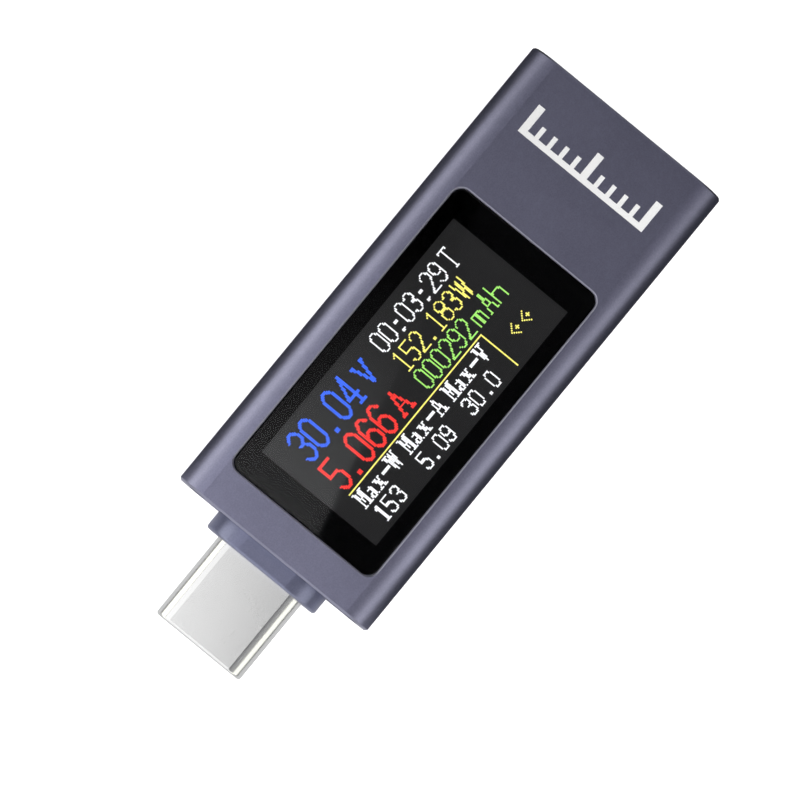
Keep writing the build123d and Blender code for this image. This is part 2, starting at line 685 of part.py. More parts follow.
# The snap dome: a thin spherical cap with its rim on the well's floor and its crown at the plunger
DOME_SHEET = 0.08
DOME_RIM = WELL_RADIUS - FIT_GAP
DOME_RISE = WELL_FLOOR - PLUNGER_TOP - 0.01
DOME_SPHERE = (DOME_RIM**2 + DOME_RISE**2) / (2 * DOME_RISE)
with BuildPart() as switch_dome:
    with Locations((BUTTON_X, 0, WELL_FLOOR - DOME_RISE + DOME_SPHERE)):
        Sphere(DOME_SPHERE)
        Sphere(DOME_SPHERE - DOME_SHEET, mode=Mode.SUBTRACT)
    split(bisect_by=Plane.XY.offset(WELL_FLOOR), keep=Keep.BOTTOM)
save(switch_dome, "switch_dome")

# ---------------------------------------------------------------- parts under the board


CHIP_STAND_OFF = 0.1
CHIP_DRAFT = 5
LEAD_THICKNESS = 0.12


def chip(length, width, height, x, y):
    """A moulded chip body under the board, held just off it by its leads."""
    with BuildPart() as made:
        with BuildSketch(Plane.XY.offset(BOARD_BOTTOM - CHIP_STAND_OFF)):
            with Locations((x, y)):
                Rectangle(length, width)
        extrude(amount=-height, taper=CHIP_DRAFT)
    return made


def gull_leads(count, pitch, reach, foot, x, y, quarter_turns):
    """Bent leads in rows: each leaves the chip's side, steps to the board and ends in a flat foot."""
    knee = BOARD_BOTTOM - 0.55
    sole = BOARD_BOTTOM - LEAD_THICKNESS / 2
    profile = [(reach, knee), (reach + 0.2, knee), (reach + 0.35, sole), (foot, sole)]
    with BuildPart() as made:
        for turn in quarter_turns:
            row = Plane(origin=(x, y, 0), x_dir=(1, 0, 0), z_dir=(0, -1, 0))
            row = row.rotated((0, 0, turn * 90))
            for i in range(count):
                with BuildSketch(row.offset((i - (count - 1) / 2) * pitch)):
                    with BuildLine():
                        Polyline(*profile)
                    trace(line_width=LEAD_THICKNESS)
                extrude(amount=pitch * 0.22, both=True)
    return made


CONTROLLER_X = -5.5
controller_chip = chip(7.0, 7.0, 1.4, CONTROLLER_X, 0)
save(controller_chip, "controller_chip")
controller_leads = gull_leads(8, 0.8, 3.5, 4.5, CONTROLLER_X, 0, range(4))
save(controller_leads, "controller_leads")

METER_CHIP_X, METER_CHIP_Y = 2.2, 4.6
meter_chip = chip(3.0, 3.0, 0.9, METER_CHIP_X, METER_CHIP_Y)
save(meter_chip, "meter_chip")
meter_chip_leads = gull_leads(5, 0.5, 1.5, 2.3, METER_CHIP_X, METER_CHIP_Y, (0, 2))
save(meter_chip_leads, "meter_chip_leads")

CONVERTER_X, CONVERTER_Y = 8.2, 5.6
converter_chip = chip(1.7, 2.9, 1.0, CONVERTER_X, CONVERTER_Y)
save(converter_chip, "converter_chip")
converter_leads = gull_leads(3, 0.95, 0.85, 1.5, CONVERTER_X, CONVERTER_Y, (0, 2))
save(converter_leads, "converter_leads")

# The shunt: a bridge of resistive metal between two soldered ends
SHUNT_X, SHUNT_Y = 3.2, -2.8
SHUNT_LENGTH, SHUNT_WIDTH, SHUNT_HEIGHT = 6.4, 3.2, 0.9
ARCH_LENGTH, ARCH_HEIGHT = 3.4, 0.3
SHUNT_RADIUS = 0.25
with BuildPart() as shunt_resistor:
    with BuildSketch(Plane.XZ.offset(-SHUNT_Y)):
        with Locations((SHUNT_X, BOARD_BOTTOM - SHUNT_HEIGHT / 2)):
            Rectangle(SHUNT_LENGTH, SHUNT_HEIGHT)
        with Locations((SHUNT_X, BOARD_BOTTOM)):
            Rectangle(ARCH_LENGTH, 2 * ARCH_HEIGHT, mode=Mode.SUBTRACT)
    extrude(amount=SHUNT_WIDTH / 2, both=True)
    fillet(shunt_resistor.edges().filter_by(Axis.Y).group_by(Axis.Z)[0], SHUNT_RADIUS)
save(shunt_resistor, "shunt_resistor")

# The inductor: a dumbbell core on a square foot, with its winding round the waist
INDUCTOR_X, INDUCTOR_Y = 9.4, 0.6
INDUCTOR_SIDE = 4.0
CORE_FOOT, CORE_WAIST, CORE_HEAD = 0.5, 1.0, 0.4
WAIST_RADIUS = 1.2
WINDING_RADIUS = 1.75
with BuildPart() as power_inductor:
    with BuildSketch(Plane.XY.offset(BOARD_BOTTOM)):
        with Locations((INDUCTOR_X, INDUCTOR_Y)):
            RectangleRounded(INDUCTOR_SIDE, INDUCTOR_SIDE, 0.4)
    extrude(amount=-CORE_FOOT)
    with BuildSketch(Plane.XY.offset(BOARD_BOTTOM - CORE_FOOT)):
        with Locations((INDUCTOR_X, INDUCTOR_Y)):
            Circle(WAIST_RADIUS)
    extrude(amount=-CORE_WAIST)
    with BuildSketch(Plane.XY.offset(BOARD_BOTTOM - CORE_FOOT - CORE_WAIST)):
        with Locations((INDUCTOR_X, INDUCTOR_Y)):
            RectangleRounded(INDUCTOR_SIDE, INDUCTOR_SIDE, 1.2)
    extrude(amount=-CORE_HEAD)
save(power_inductor, "power_inductor")

with BuildPart() as inductor_winding:
    with BuildSketch(Plane.XY.offset(BOARD_BOTTOM - CORE_FOOT - FIT_GAP)):
        with Locations((INDUCTOR_X, INDUCTOR_Y)):
            Circle(WINDING_RADIUS)
            Circle(WAIST_RADIUS + FIT_GAP, mode=Mode.SUBTRACT)
    extrude(amount=2 * FIT_GAP - CORE_WAIST)
save(inductor_winding, "inductor_winding")

surge_diode = blocks((2.6, 4.3, 1.9), [(11.4, -5.4)], BOARD_BOTTOM, side=-1, edge=0.2)
save(surge_diode, "surge_diode")

clock_crystal = blocks((3.2, 2.5, 0.75), [(-11.9, 4.6)], BOARD_BOTTOM, side=-1, edge=0.1)
save(clock_crystal, "clock_crystal")

CAPACITOR_PLACES = [
    (-11.6, 1.4), (-11.6, -0.4), (-11.6, -2.2), (-0.2, 6.9), (4.8, 7.0),
    (8.2, -2.6), (10.9, 5.0), (10.9, 6.6), (-8.0, 6.4), (-8.0, -6.4),
]
capacitors = blocks((1.6, 0.8, 0.8), CAPACITOR_PLACES, BOARD_BOTTOM, side=-1)
save(capacitors, "capacitors")

RESISTOR_PLACES = [
    (-5.2, 6.4), (-2.8, 6.4), (-5.2, -6.4), (-2.8, -6.4), (-0.4, -6.4),
    (2.0, -6.4), (4.4, -6.4), (6.8, -6.4), (0.3, 1.6), (13.6, 3.6),
]
resistors = blocks((1.6, 0.8, 0.45), RESISTOR_PLACES, BOARD_BOTTOM, side=-1)
save(resistors, "resistors")

# Surge arrays on the top of the board, between the display and the socket
surge_arrays = blocks((1.6, 1.6, 0.6), [(16.9, -6), (16.9, 6)], BOARD_TOP, side=1, edge=0.08)
save(surge_arrays, "surge_arrays")

# Solder against the end of each of the socket's feet
SOLDER = 0.5
solder_y = SHELL_WIDTH / 2 + FOOT * 3 / 4 + SOLDER / 2
solder_places = [(SOCKET_BACK + x, side * solder_y) for x in (1.4, 4.6) for side in (-1, 1)]
solder_joints = blocks((1.3, SOLDER, 0.3), solder_places, BOARD_TOP, side=1, edge=0.1)
save(solder_joints, "solder_joints")

with BuildPart() as insulating_sheet:
    with BuildSketch(Plane.XY.offset(BOTTOM_WALL)):
        with Locations(((BOARD_START + BOARD_END) / 2, 0)):
            RectangleRounded(BOARD_END - BOARD_START - 0.6, CAVITY_WIDTH - 2 * CAVITY_RADIUS, 0.5)
        with Locations((BUTTON_X, 0)):
            Circle(BUTTON_RADIUS + 1.2, mode=Mode.SUBTRACT)
    extrude(amount=FILM)
save(insulating_sheet, "insulating_sheet")
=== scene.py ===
"""Looks of an inline USB-C power meter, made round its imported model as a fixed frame: the lit
picture of its display, its printed scale, its switch dome, every finish, and a plain studio.

Metres. +X runs from the plug to the socket, +Y towards the top of the displayed text and +Z out
of the screen. Run it as a script; it is laid out as an add-on so that its sizes can be edited.
"""

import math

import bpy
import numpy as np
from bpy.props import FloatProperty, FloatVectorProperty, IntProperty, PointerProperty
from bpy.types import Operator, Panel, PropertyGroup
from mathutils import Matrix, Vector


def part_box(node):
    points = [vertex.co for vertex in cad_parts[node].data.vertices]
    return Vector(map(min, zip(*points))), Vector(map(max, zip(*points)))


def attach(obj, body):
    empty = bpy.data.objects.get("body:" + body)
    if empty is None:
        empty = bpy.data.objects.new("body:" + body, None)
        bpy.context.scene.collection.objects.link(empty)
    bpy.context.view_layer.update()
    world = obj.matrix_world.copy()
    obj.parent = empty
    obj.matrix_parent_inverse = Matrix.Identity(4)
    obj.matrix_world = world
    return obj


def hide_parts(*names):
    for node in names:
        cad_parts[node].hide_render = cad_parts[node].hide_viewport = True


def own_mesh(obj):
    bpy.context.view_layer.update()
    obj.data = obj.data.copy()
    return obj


bl_info = {
    "name": "Inline Power Meter",
    "version": (1, 0, 0),
    "blender": (4, 5, 0),
    "location": "View3D > Sidebar > Power Meter",
    "description": "Display picture, printed scale, finishes and studio of an inline power meter",
    "category": "Object",
}

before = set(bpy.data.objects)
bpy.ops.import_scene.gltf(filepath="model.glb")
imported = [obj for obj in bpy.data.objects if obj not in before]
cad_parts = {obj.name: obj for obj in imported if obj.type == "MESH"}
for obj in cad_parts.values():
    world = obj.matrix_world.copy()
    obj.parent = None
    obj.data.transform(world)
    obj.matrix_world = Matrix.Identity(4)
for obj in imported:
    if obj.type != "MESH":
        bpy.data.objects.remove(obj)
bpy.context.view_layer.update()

MM = 0.001
METER = "meter"

# ---------------------------------------------------------------- places read from the frame

HOUSING_LOW, HOUSING_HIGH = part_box("housing")
GLASS_LOW, GLASS_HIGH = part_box("cover_glass")
PANEL_LOW, PANEL_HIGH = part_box("front_polariser")
PLUG_LOW, PLUG_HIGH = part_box("plug_shell")
DOME_LOW, DOME_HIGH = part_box("switch_dome")
GLASS_CENTRE = (GLASS_LOW + GLASS_HIGH) / 2
WINDOW_CORNER = 0.95 * MM
MIDDLE_Z = (PLUG_LOW.z + PLUG_HIGH.z) / 2


# ---------------------------------------------------------------- sizes and colours to edit


def length(name, default_mm, description):
    """A length in metres, shown in the scene's units."""
    return FloatProperty(
        name=name, description=description, default=default_mm * MM, precision=5, unit="LENGTH"
    )


def colour(name, default, description):
    """A colour picked in the panel."""
    return FloatVectorProperty(
        name=name, description=description, default=default, size=3, min=0, max=1, subtype="COLOR"
    )


class DisplaySettings(PropertyGroup):
    """The dot grid of the display and the colours of its readings."""

    pitch: length("Dot pitch", 0.1247, "Distance from one dot to the next")
    columns: IntProperty(name="Columns", description="Dots along the display", default=160)
    rows: IntProperty(name="Rows", description="Dots across the display", default=84)
    shift_x: length("Shift along", 0.10, "From the glass's centre to the picture's, along X")
    shift_y: length("Shift across", -0.19, "From the glass's centre to the picture's, along Y")
    fill: FloatProperty(
        name="Fill", description="Lit share of a dot's side", default=0.94, subtype="FACTOR"
    )
    glow: FloatProperty(name="Glow", description="Strength of a lit dot", default=1.25)
    leak: FloatProperty(name="Leak", description="Glow of the dark dots", default=0.0185)
    volts: colour("Volts", (0.045, 0.15, 0.97), "The voltage reading")
    amps: colour("Amps", (1.0, 0.05, 0.042), "The current reading")
    white: colour("White", (0.97, 0.98, 1.0), "Timer and peak readings")
    yellow: colour("Yellow", (1.0, 0.92, 0.20), "Power reading, divider and arrows")
    green: colour("Green", (0.38, 0.82, 0.17), "Charge reading")


class PrintSettings(PropertyGroup):
    """The printed scale on the top face."""

    centre: length("Centre", 38.15, "From the sleeve's plug end to the scale's middle")
    span: length("Span", 11.6, "From the first tick's centre to the last one's")
    height: length("Height", 2.6, "Length of a long tick")
    tick: length("Tick", 0.62, "Width of a long tick")
    ticks: IntProperty(name="Ticks", description="Ticks of the scale", default=11)
    ink: length("Ink", 0.006, "How far the ink stands above the metal")


class FinishSettings(PropertyGroup):
    """The colours of the finishes that show."""

    sleeve: colour("Sleeve", (0.308, 0.308, 0.438), "Anodised sleeve")
    cap: colour("Caps", (0.222, 0.232, 0.345), "Anodised end caps")
    nickel: colour("Nickel", (0.87, 0.87, 0.87), "Plated connector shells")
    gold: colour("Gold", (0.90, 0.62, 0.24), "Plated contacts")


class StudioSettings(PropertyGroup):
    """The floor, the lights and the camera."""

    distance: length("Camera distance", 550.0, "From the camera to the point that it looks at")
    field: length("Field", 62.0, "Width of the floor that the picture takes in")
    aim: length("Aim", 15.6, "From the sleeve's plug end to the point looked at")
    lean: FloatProperty(
        name="Lean", description="Camera's lean towards the plug", default=math.radians(2.3),
        subtype="ANGLE",
    )
    roll: FloatProperty(
        name="Roll", description="Turn of the meter in the picture", default=math.radians(50.62),
        subtype="ANGLE",
    )
    floor: colour("Floor", (0.93, 0.93, 0.935), "Pale floor")


# ---------------------------------------------------------------- shader maths


class Signal:
    """A socket inside a material, so that shader maths is written as Python expressions."""

    def __init__(self, paint, socket):
        self.paint = paint
        self.socket = socket

    def maths(self, operation, *values):
        """A Math node over this signal and others."""
        return self.paint.node("ShaderNodeMath", {"operation": operation}, self, *values)

    def __add__(self, other):
        return self.maths("ADD", other)

    __radd__ = __add__

    def __mul__(self, other):
        return self.maths("MULTIPLY", other)

    __rmul__ = __mul__

    def __sub__(self, other):
        return self.maths("SUBTRACT", other)

    def __rsub__(self, other):
        return self.paint.node("ShaderNodeMath", {"operation": "SUBTRACT"}, other, self)

    def __truediv__(self, other):
        return self.maths("DIVIDE", other)

    def __pow__(self, other):
        return self.maths("POWER", other)

    def __abs__(self):
        return self.maths("ABSOLUTE")

    def __mod__(self, other):
        return self.maths("MODULO", other)

    def at_most(self, other):
        return self.maths("MINIMUM", other)

    def at_least(self, other):
        return self.maths("MAXIMUM", other)

    def fade(self, start, end):
        """0 below start, 1 above end, and smooth between them."""
        ramp = self.paint.node(
            "ShaderNodeMapRange", {"interpolation_type": "SMOOTHSTEP"}, Value=self,
            **{"From Min": start, "From Max": end},
        )
        return ramp


class Paint:
    """One material: its tree, its shader and the patterns that its finish is made of."""

    def __init__(self, name, base, roughness, metallic=0.0, **constants):
        self.material = bpy.data.materials.new(name)
        self.material.use_nodes = True
        self.tree = self.material.node_tree
        self.shader = self.tree.nodes["Principled BSDF"]
        self.base = (*base, 1.0)
        self.set(Base_Color=self.base, Roughness=roughness, Metallic=metallic)
        self.set(**constants)

    def connect(self, socket, value):
        """Link a signal to a socket, or set the socket to a plain value."""
        if isinstance(value, Signal):
            self.tree.links.new(value.socket, socket)
        else:
            socket.default_value = value

    def set(self, **values):
        """Feed the shader's sockets by name."""
        for name, value in values.items():
            self.connect(self.shader.inputs[name.replace("_", " ")], value)

    def node(self, kind, settings=None, *values, output=None, **named):
        """A node of that kind: its settings first, then the values or links of its sockets."""
        made = self.tree.nodes.new(kind)
        for key, setting in (settings or {}).items():
            setattr(made, key, setting)
        for socket, value in zip(made.inputs, values):
            self.connect(socket, value)
        for name, value in named.items():
            self.connect(next(s for s in made.inputs if s.name == name and s.enabled), value)
        if output is None:
            return Signal(self, next(s for s in made.outputs if s.enabled))
        return Signal(self, made.outputs[output])

    def place(self, scale=(1, 1, 1)):
        """Object coordinates, scaled."""
        coordinates = self.node("ShaderNodeTexCoord", output="Object")
        return self.node("ShaderNodeMapping", None, Vector=coordinates, Scale=scale)

    def axes(self):
        """The three object coordinates as signals."""
        split = self.node("ShaderNodeSeparateXYZ", None, Vector=self.place(), output="X")
        return [Signal(self, out) for out in split.socket.node.outputs]

    def noise(self, size, detail=2.0, rough=0.5, stretch=(1, 1, 1)):
        """Soft noise, 0 to 1, whose features are about size metres across."""
        return self.node(
            "ShaderNodeTexNoise", None, output="Fac",
            Vector=self.place(scale=stretch), Scale=1 / size, Detail=detail, Roughness=rough,
        )

    def cells(self, size):
        """Distance to the nearest of points scattered about size metres apart, in cells."""
        return self.node(
            "ShaderNodeTexVoronoi", {"feature": "F1"}, output="Distance",
            Vector=self.place(), Scale=1 / size,
        )

    def mix(self, first, second, share):
        """A colour between two, or one of them times the other's strength."""
        blend = self.tree.nodes.new("ShaderNodeMix")
        blend.data_type = "RGBA"
        self.connect(blend.inputs["Factor"], share)
        for socket, value in ((blend.inputs[6], first), (blend.inputs[7], second)):
            self.connect(socket, value if isinstance(value, Signal) else (*value[:3], 1.0))
        return Signal(self, blend.outputs[2])

    def outside(self, low, high, corner):
        """Distance outside a rectangle with rounded corners, seen from above."""
        place = self.axes()
        over = []
        for axis in range(2):
            middle, half = (low[axis] + high[axis]) / 2, (high[axis] - low[axis]) / 2
            over.append(abs(place[axis] - middle) - (half - corner))
        x, y = (gap.at_least(0.0) for gap in over)
        inner = over[0].at_least(over[1]).at_most(0.0)
        return (x * x + y * y) ** 0.5 + inner - corner

    def tint(self, share, darker, lighter):
        """The base colour, from darker times itself to lighter times itself, by share."""
        low = tuple(min(c * darker, 1.0) for c in self.base[:3])
        high = tuple(min(c * lighter, 1.0) for c in self.base[:3])
        return self.mix(low, high, share)

    def bump(self, height, depth, strength=1.0):
        """Feed the shader's normal from a height of 0 to 1 that stands for depth metres."""
        normal = self.node(
            "ShaderNodeBump", None, Height=height, Distance=depth, Strength=strength
        )
        self.set(Normal=normal)


# ---------------------------------------------------------------- finishes


def end_distance(paint, low, high):
    """Distance along X to the nearer of a box's two ends."""
    x = paint.axes()[0]
    return (x - low.x).at_most(high.x - x)


def anodised(name, base, low, high, edge_paling, metallic=1.0, rough=0.37, window=False):
    """Bead-blasted and anodised aluminium: a fine even grain, faint clouds of dye, and paler,
    smoother metal along the edges across its length. A window's rim gets a painted highlight
    after it."""
    paint = Paint(name, base, rough, metallic)
    grain = paint.noise(0.085 * MM, detail=3.0, rough=0.7)
    pits = paint.cells(0.13 * MM)
    clouds = paint.noise(5.0 * MM, detail=3.0)
    fine = paint.noise(0.6 * MM, detail=2.0)
    texture = grain * 0.65 + pits * 0.35
    edge = 1 - end_distance(paint, low, high).fade(0.02 * MM, 0.22 * MM)
    # A paler, smoother band within about 0.2 mm of both ends along X, patchy by noise
    paled_edges = edge * (paint.noise(0.9 * MM, detail=4.0) * 0.8 + 0.35).at_most(1.0) * edge_paling
    shade = clouds * 0.30 + fine * 0.15 + texture * 0.55
    colour_now = paint.tint(shade.fade(0.25, 0.75), 0.86, 1.14)
    paled_colour = tuple(0.55 * c + 0.30 for c in base)
    colour_now = paint.mix(colour_now, paled_colour, paled_edges * 0.55)
    gloss = rough + texture * 0.10 - paled_edges * 0.08
    if window:
        # Painted highlight: a lighter copy of the sleeve's colour, a little rougher, within about
        # 0.15 mm of the glass's outline and inside it, over the window's chamfer and walls
        rim = 1 - paint.outside(GLASS_LOW, GLASS_HIGH, WINDOW_CORNER).fade(0.14 * MM, 0.17 * MM)
        rim_highlight = tuple(0.75 * c + 0.18 for c in base)
        colour_now = paint.mix(colour_now, rim_highlight, rim)
        gloss = gloss + rim * 0.12
    paint.set(Base_Color=colour_now, Roughness=gloss)
    paint.bump(texture, 0.006 * MM, 0.55)
    return paint.material


def plated(name, base, roughness=0.19, along=(0.05, 1, 1)):
    """Satin plate over drawn metal: long faint lines, small stains and fine hairlines of use."""
    paint = Paint(name, base, roughness, metallic=1.0)
    lines = paint.noise(0.06 * MM, detail=2.0, stretch=along)
    stains = paint.noise(1.6 * MM, detail=4.0)
    hairs = paint.noise(0.03 * MM, detail=1.0, stretch=(0.03, 1, 1))
    scratch = hairs.fade(0.66, 0.74) * stains.fade(0.45, 0.65)
    paint.set(Base_Color=paint.tint(lines * 0.5 + stains * 0.5, 0.96, 1.03))
    paint.set(Roughness=roughness + lines * 0.06 + stains * 0.04 + scratch * 0.10)
    paint.bump(lines * 0.8 + scratch * 0.2, 0.0004 * MM, 0.3)
    return paint.material


def contact_gold(name, base):
    """Gold flash on contact springs, with rubbed tracks where a mating contact slides."""
    paint = Paint(name, base, 0.22, metallic=1.0)
    rubbed = paint.noise(0.04 * MM, detail=2.0, stretch=(0.08, 1, 1))
    spots = paint.noise(0.5 * MM, detail=3.0)
    nickel_shows = (0.78, 0.72, 0.58)
    paint.set(Base_Color=paint.mix(base, nickel_shows, (rubbed * spots).fade(0.26, 0.50) * 0.6))
    paint.set(Roughness=0.16 + rubbed * 0.14)
    paint.bump(rubbed, 0.001 * MM, 0.3)
    return paint.material


def moulded(name, base, roughness, fleck=0.0, grain=0.09, depth=0.004):
    """Moulded plastic or epoxy: a spark-eroded grain, mottled gloss and pale filler flecks."""
    paint = Paint(name, base, roughness)
    erosion = paint.noise(grain * MM, detail=3.0, rough=0.6)
    mottle = paint.noise(1.3 * MM, detail=2.0)
    flecks = 1 - paint.cells(0.11 * MM).fade(0.08, 0.22)
    pale = tuple(min(c * 1.6 + 0.05, 1.0) for c in base)
    body = paint.tint(erosion * 0.6 + mottle * 0.4, 0.82, 1.18)
    paint.set(Base_Color=paint.mix(body, pale, flecks * fleck))
    paint.set(Roughness=roughness - 0.06 + mottle * 0.12)
    paint.bump(erosion, depth * MM, 0.6)
    return paint.material


def sheet_film(name, base, roughness, streak=0.3, metallic=0.0, **constants):
    """Thin film: faint streaks along its web, small waves and a few specks of dust."""
    paint = Paint(name, base, roughness, metallic, **constants)
    streaks = paint.noise(0.2 * MM, detail=2.0, stretch=(0.04, 1, 1))
    waves = paint.noise(4.0 * MM, detail=1.0)
    specks = 1 - paint.cells(0.9 * MM).fade(0.03, 0.05)
    body = paint.tint(streaks * 0.5 + waves * 0.5, 1 - 0.2 * streak, 1 + 0.2 * streak)
    paint.set(Base_Color=paint.mix(body, (0.6, 0.6, 0.58), specks * 0.35))
    paint.set(Roughness=roughness + streaks * 0.08 + specks * 0.2)
    paint.bump(waves * 0.8 + streaks * 0.2, 0.01 * MM, 0.25)
    return paint.material


def clear_glass(name):
    """Polished cover glass, coated against reflections: clear right through, with the faintest
    greasy haze in its gloss."""
    paint = Paint(name, (0.985, 0.99, 1.0), 0.0, Transmission_Weight=1.0, IOR=1.12)
    smear = paint.noise(3.5 * MM, detail=3.0, stretch=(0.5, 1, 1))
    prints = paint.noise(0.35 * MM, detail=1.0, stretch=(1, 0.4, 1))
    paint.set(Roughness=(smear * prints).fade(0.22, 0.5) * 0.006)
    return paint.material


def display_ink(name):
    """Screen-printed black ink bonded to the glass: dense and mirror-smooth, with a very fine
    mesh mark."""
    paint = Paint(name, (0.0012, 0.0012, 0.0014), 0.03, Specular_IOR_Level=0.26)
    x, y, _ = paint.axes()
    turns = 2 * math.pi / (0.09 * MM)
    mesh = (x * turns).maths("SINE") * (y * turns).maths("SINE")
    cover = paint.noise(2.0 * MM, detail=3.0)
    paint.set(Base_Color=paint.tint(cover * 0.7 + mesh * 0.15 + 0.15, 0.7, 1.5))
    paint.set(Roughness=0.028 + mesh * 0.004 + cover * 0.006)
    return paint.material


# Specular level of the display's front, the same over its dark and its lit dots
PANEL_GLOSS = 0.62


def lit_polariser(name, pitch, leak):
    """The panel's front: glossy black film through which the dark dots leak a little light."""
    film = (0.004, 0.004, 0.004)
    paint = Paint(name, film, 0.03, Specular_IOR_Level=PANEL_GLOSS, Emission_Strength=1.0)
    x, y, _ = paint.axes()
    ribs = (x * (6 * math.pi / pitch)).maths("SINE") * 0.10 + 0.95
    rows = (y * (2 * math.pi / pitch)).maths("SINE") * 0.10 + 0.95
    cloud = paint.noise(6.0 * MM, detail=1.0) * 0.16 + 0.92
    glow = ribs * rows * cloud
    black = (0.0, 0.0, 0.0)
    shown = paint.mix(black, (leak, leak, leak * 1.02), glow.at_most(1.0))
    paint.set(Emission_Color=shown)
    paint.set(Roughness=0.025 + cloud * 0.01)
    return paint.material


def lit_pixel(name, base, strength):
    """A lit dot under the same gloss as its panel: its colour drifts a little with the light
    behind it."""
    black = (0.0, 0.0, 0.0)
    paint = Paint(name, black, 0.03, Specular_IOR_Level=PANEL_GLOSS, Emission_Strength=strength)
    shimmer = paint.noise(0.30 * MM, detail=1.0)
    low = tuple(c * 0.86 for c in base)
    paint.set(Emission_Color=paint.mix(low, base, shimmer.fade(0.3, 0.6)))
    return paint.material


def circuit_board(name):
    """Solder mask over copper: straight tracks and pours stand up under a dark green lacquer."""
    paint = Paint(name, (0.006, 0.045, 0.022), 0.30)
    x, y, _ = paint.axes()
    bend = paint.noise(2.6 * MM, detail=0.0)
    lanes = ((y + bend * 1.2 * MM) * (2 * math.pi / (0.62 * MM))).maths("SINE").fade(0.1, 0.5)
    pours = paint.noise(3.4 * MM, detail=0.0).fade(0.50, 0.53)
    copper = lanes.at_least(pours)
    weave = (x * (2 * math.pi / (0.35 * MM))).maths("SINE") * (
        y * (2 * math.pi / (0.35 * MM))
    ).maths("SINE")
    lacquer = paint.noise(0.7 * MM, detail=3.0)
    paint.set(Base_Color=paint.mix((0.004, 0.032, 0.016), (0.010, 0.085, 0.034), copper))
    paint.set(Roughness=0.24 + lacquer * 0.12)
    paint.bump(copper * 0.75 + weave * 0.08 + lacquer * 0.1, 0.03 * MM, 0.6)
    return paint.material


def ferrite(name):
    """Sintered ferrite: charcoal, with coarse grain and chipped sparkle."""
    paint = Paint(name, (0.055, 0.055, 0.060), 0.55, metallic=0.3)
    grains = paint.cells(0.06 * MM)
    clumps = paint.noise(0.5 * MM, detail=3.0)
    paint.set(Base_Color=paint.tint(grains * 0.5 + clumps * 0.5, 0.65, 1.5))
    paint.set(Roughness=0.42 + grains * 0.2)
    paint.bump(grains * 0.6 + clumps * 0.4, 0.012 * MM, 0.7)
    return paint.material


def copper_wire(name):
    """Enamelled wire wound round the core: stacked turns under a warm varnish, with painted shade
    in the grooves between turns.
    """
    paint = Paint(name, (0.72, 0.27, 0.09), 0.28, metallic=0.9)
    z = paint.axes()[2]
    turns = (z * (2 * math.pi / (0.10 * MM))).maths("SINE") * 0.5 + 0.5
    varnish = paint.noise(0.4 * MM, detail=2.0)
    # Painted shade: the colour darkens to about half in the grooves between turns, where the bump
    # is lowest
    paint.set(Base_Color=paint.tint(turns * 0.7 + varnish * 0.3, 0.45, 1.15))
    paint.set(Roughness=0.22 + varnish * 0.14)
    paint.bump(turns, 0.03 * MM, 0.8)
    return paint.material


def foam(name):
    """Closed-cell foam: small round cells, dark and matt."""
    paint = Paint(name, (0.026, 0.026, 0.028), 0.9, Specular_IOR_Level=0.2)
    cells = paint.cells(0.10 * MM)
    crush = paint.noise(1.0 * MM, detail=2.0)
    paint.set(Base_Color=paint.tint(cells * 0.7 + crush * 0.3, 0.5, 1.7))
    paint.set(Roughness=0.8 + crush * 0.15)
    paint.bump(cells, 0.04 * MM, 0.9)
    return paint.material


def chip_component(name, body, end, half_length):
    """A leadless part: a fired body with dipped metal ends, by distance from its own middle.
    The parts stand at different places, so the ends are marked by a stripe along X that repeats
    with the body's length."""
    paint = Paint(name, body, 0.45)
    x = paint.axes()[0]
    fired = paint.noise(0.08 * MM, detail=3.0)
    dip = paint.noise(0.25 * MM, detail=2.0)
    share = ((x / (2 * half_length) + 40.0) % 1.0 - 0.5).maths("ABSOLUTE")
    ends = (share + dip * 0.03).fade(0.33, 0.36)
    shade = paint.tint(fired, 0.75, 1.25)
    paint.set(Base_Color=paint.mix(shade, end, ends))
    paint.set(Metallic=ends * 0.9)
    paint.set(Roughness=0.35 + fired * 0.15)
    paint.bump(fired, 0.006 * MM, 0.5)
    return paint.material


def printed_white(name):
    """Pad-printed white ink: opaque, satin, a little thin at its borders."""
    paint = Paint(name, (0.90, 0.90, 0.91), 0.42)
    grit = paint.noise(0.12 * MM, detail=3.0)
    wash = paint.noise(1.4 * MM, detail=2.0)
    paint.set(Base_Color=paint.tint(grit * 0.5 + wash * 0.5, 0.95, 1.05))
    paint.set(Roughness=0.36 + grit * 0.12)
    paint.bump(grit, 0.002 * MM, 0.4)
    return paint.material


def pale_floor(name, base):
    """The studio's floor: matt white card with the faintest tooth."""
    paint = Paint(name, base, 0.9, Specular_IOR_Level=0.0, Emission_Strength=0.85)
    tooth = paint.noise(0.8 * MM, detail=2.0)
    paint.set(Base_Color=paint.tint(tooth, 0.995, 1.005))
    paint.set(Emission_Color=(*base, 1.0))
    return paint.material


# ---------------------------------------------------------------- meshes from arrays


def piece(name, points, faces, material, body=METER):
    """A mesh piece from whole arrays of points and faces, riding on a body."""
    mesh = bpy.data.meshes.new(name)
    mesh.from_pydata(points.tolist(), [], [list(f) for f in faces])
    mesh.update()
    mesh.materials.append(material)
    made = bpy.data.objects.new(name, mesh)
    bpy.context.scene.collection.objects.link(made)
    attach(made, body)
    return made


def cuboids(low, high):
    """Closed boxes as one array: corner k of box i is low + (high - low) * bit pattern of k."""
    bits = np.array([[(k >> axis) & 1 for axis in range(3)] for k in range(8)], float)
    points = low[:, None, :] + (high - low)[:, None, :] * bits[None]
    quads = np.array(
        [[0, 2, 3, 1], [4, 5, 7, 6], [0, 1, 5, 4], [2, 6, 7, 3], [0, 4, 6, 2], [1, 3, 7, 5]]
    )
    faces = quads[None] + 8 * np.arange(len(low))[:, None, None]
    return points.reshape(-1, 3), faces.reshape(-1, 4)


# ---------------------------------------------------------------- the display's picture

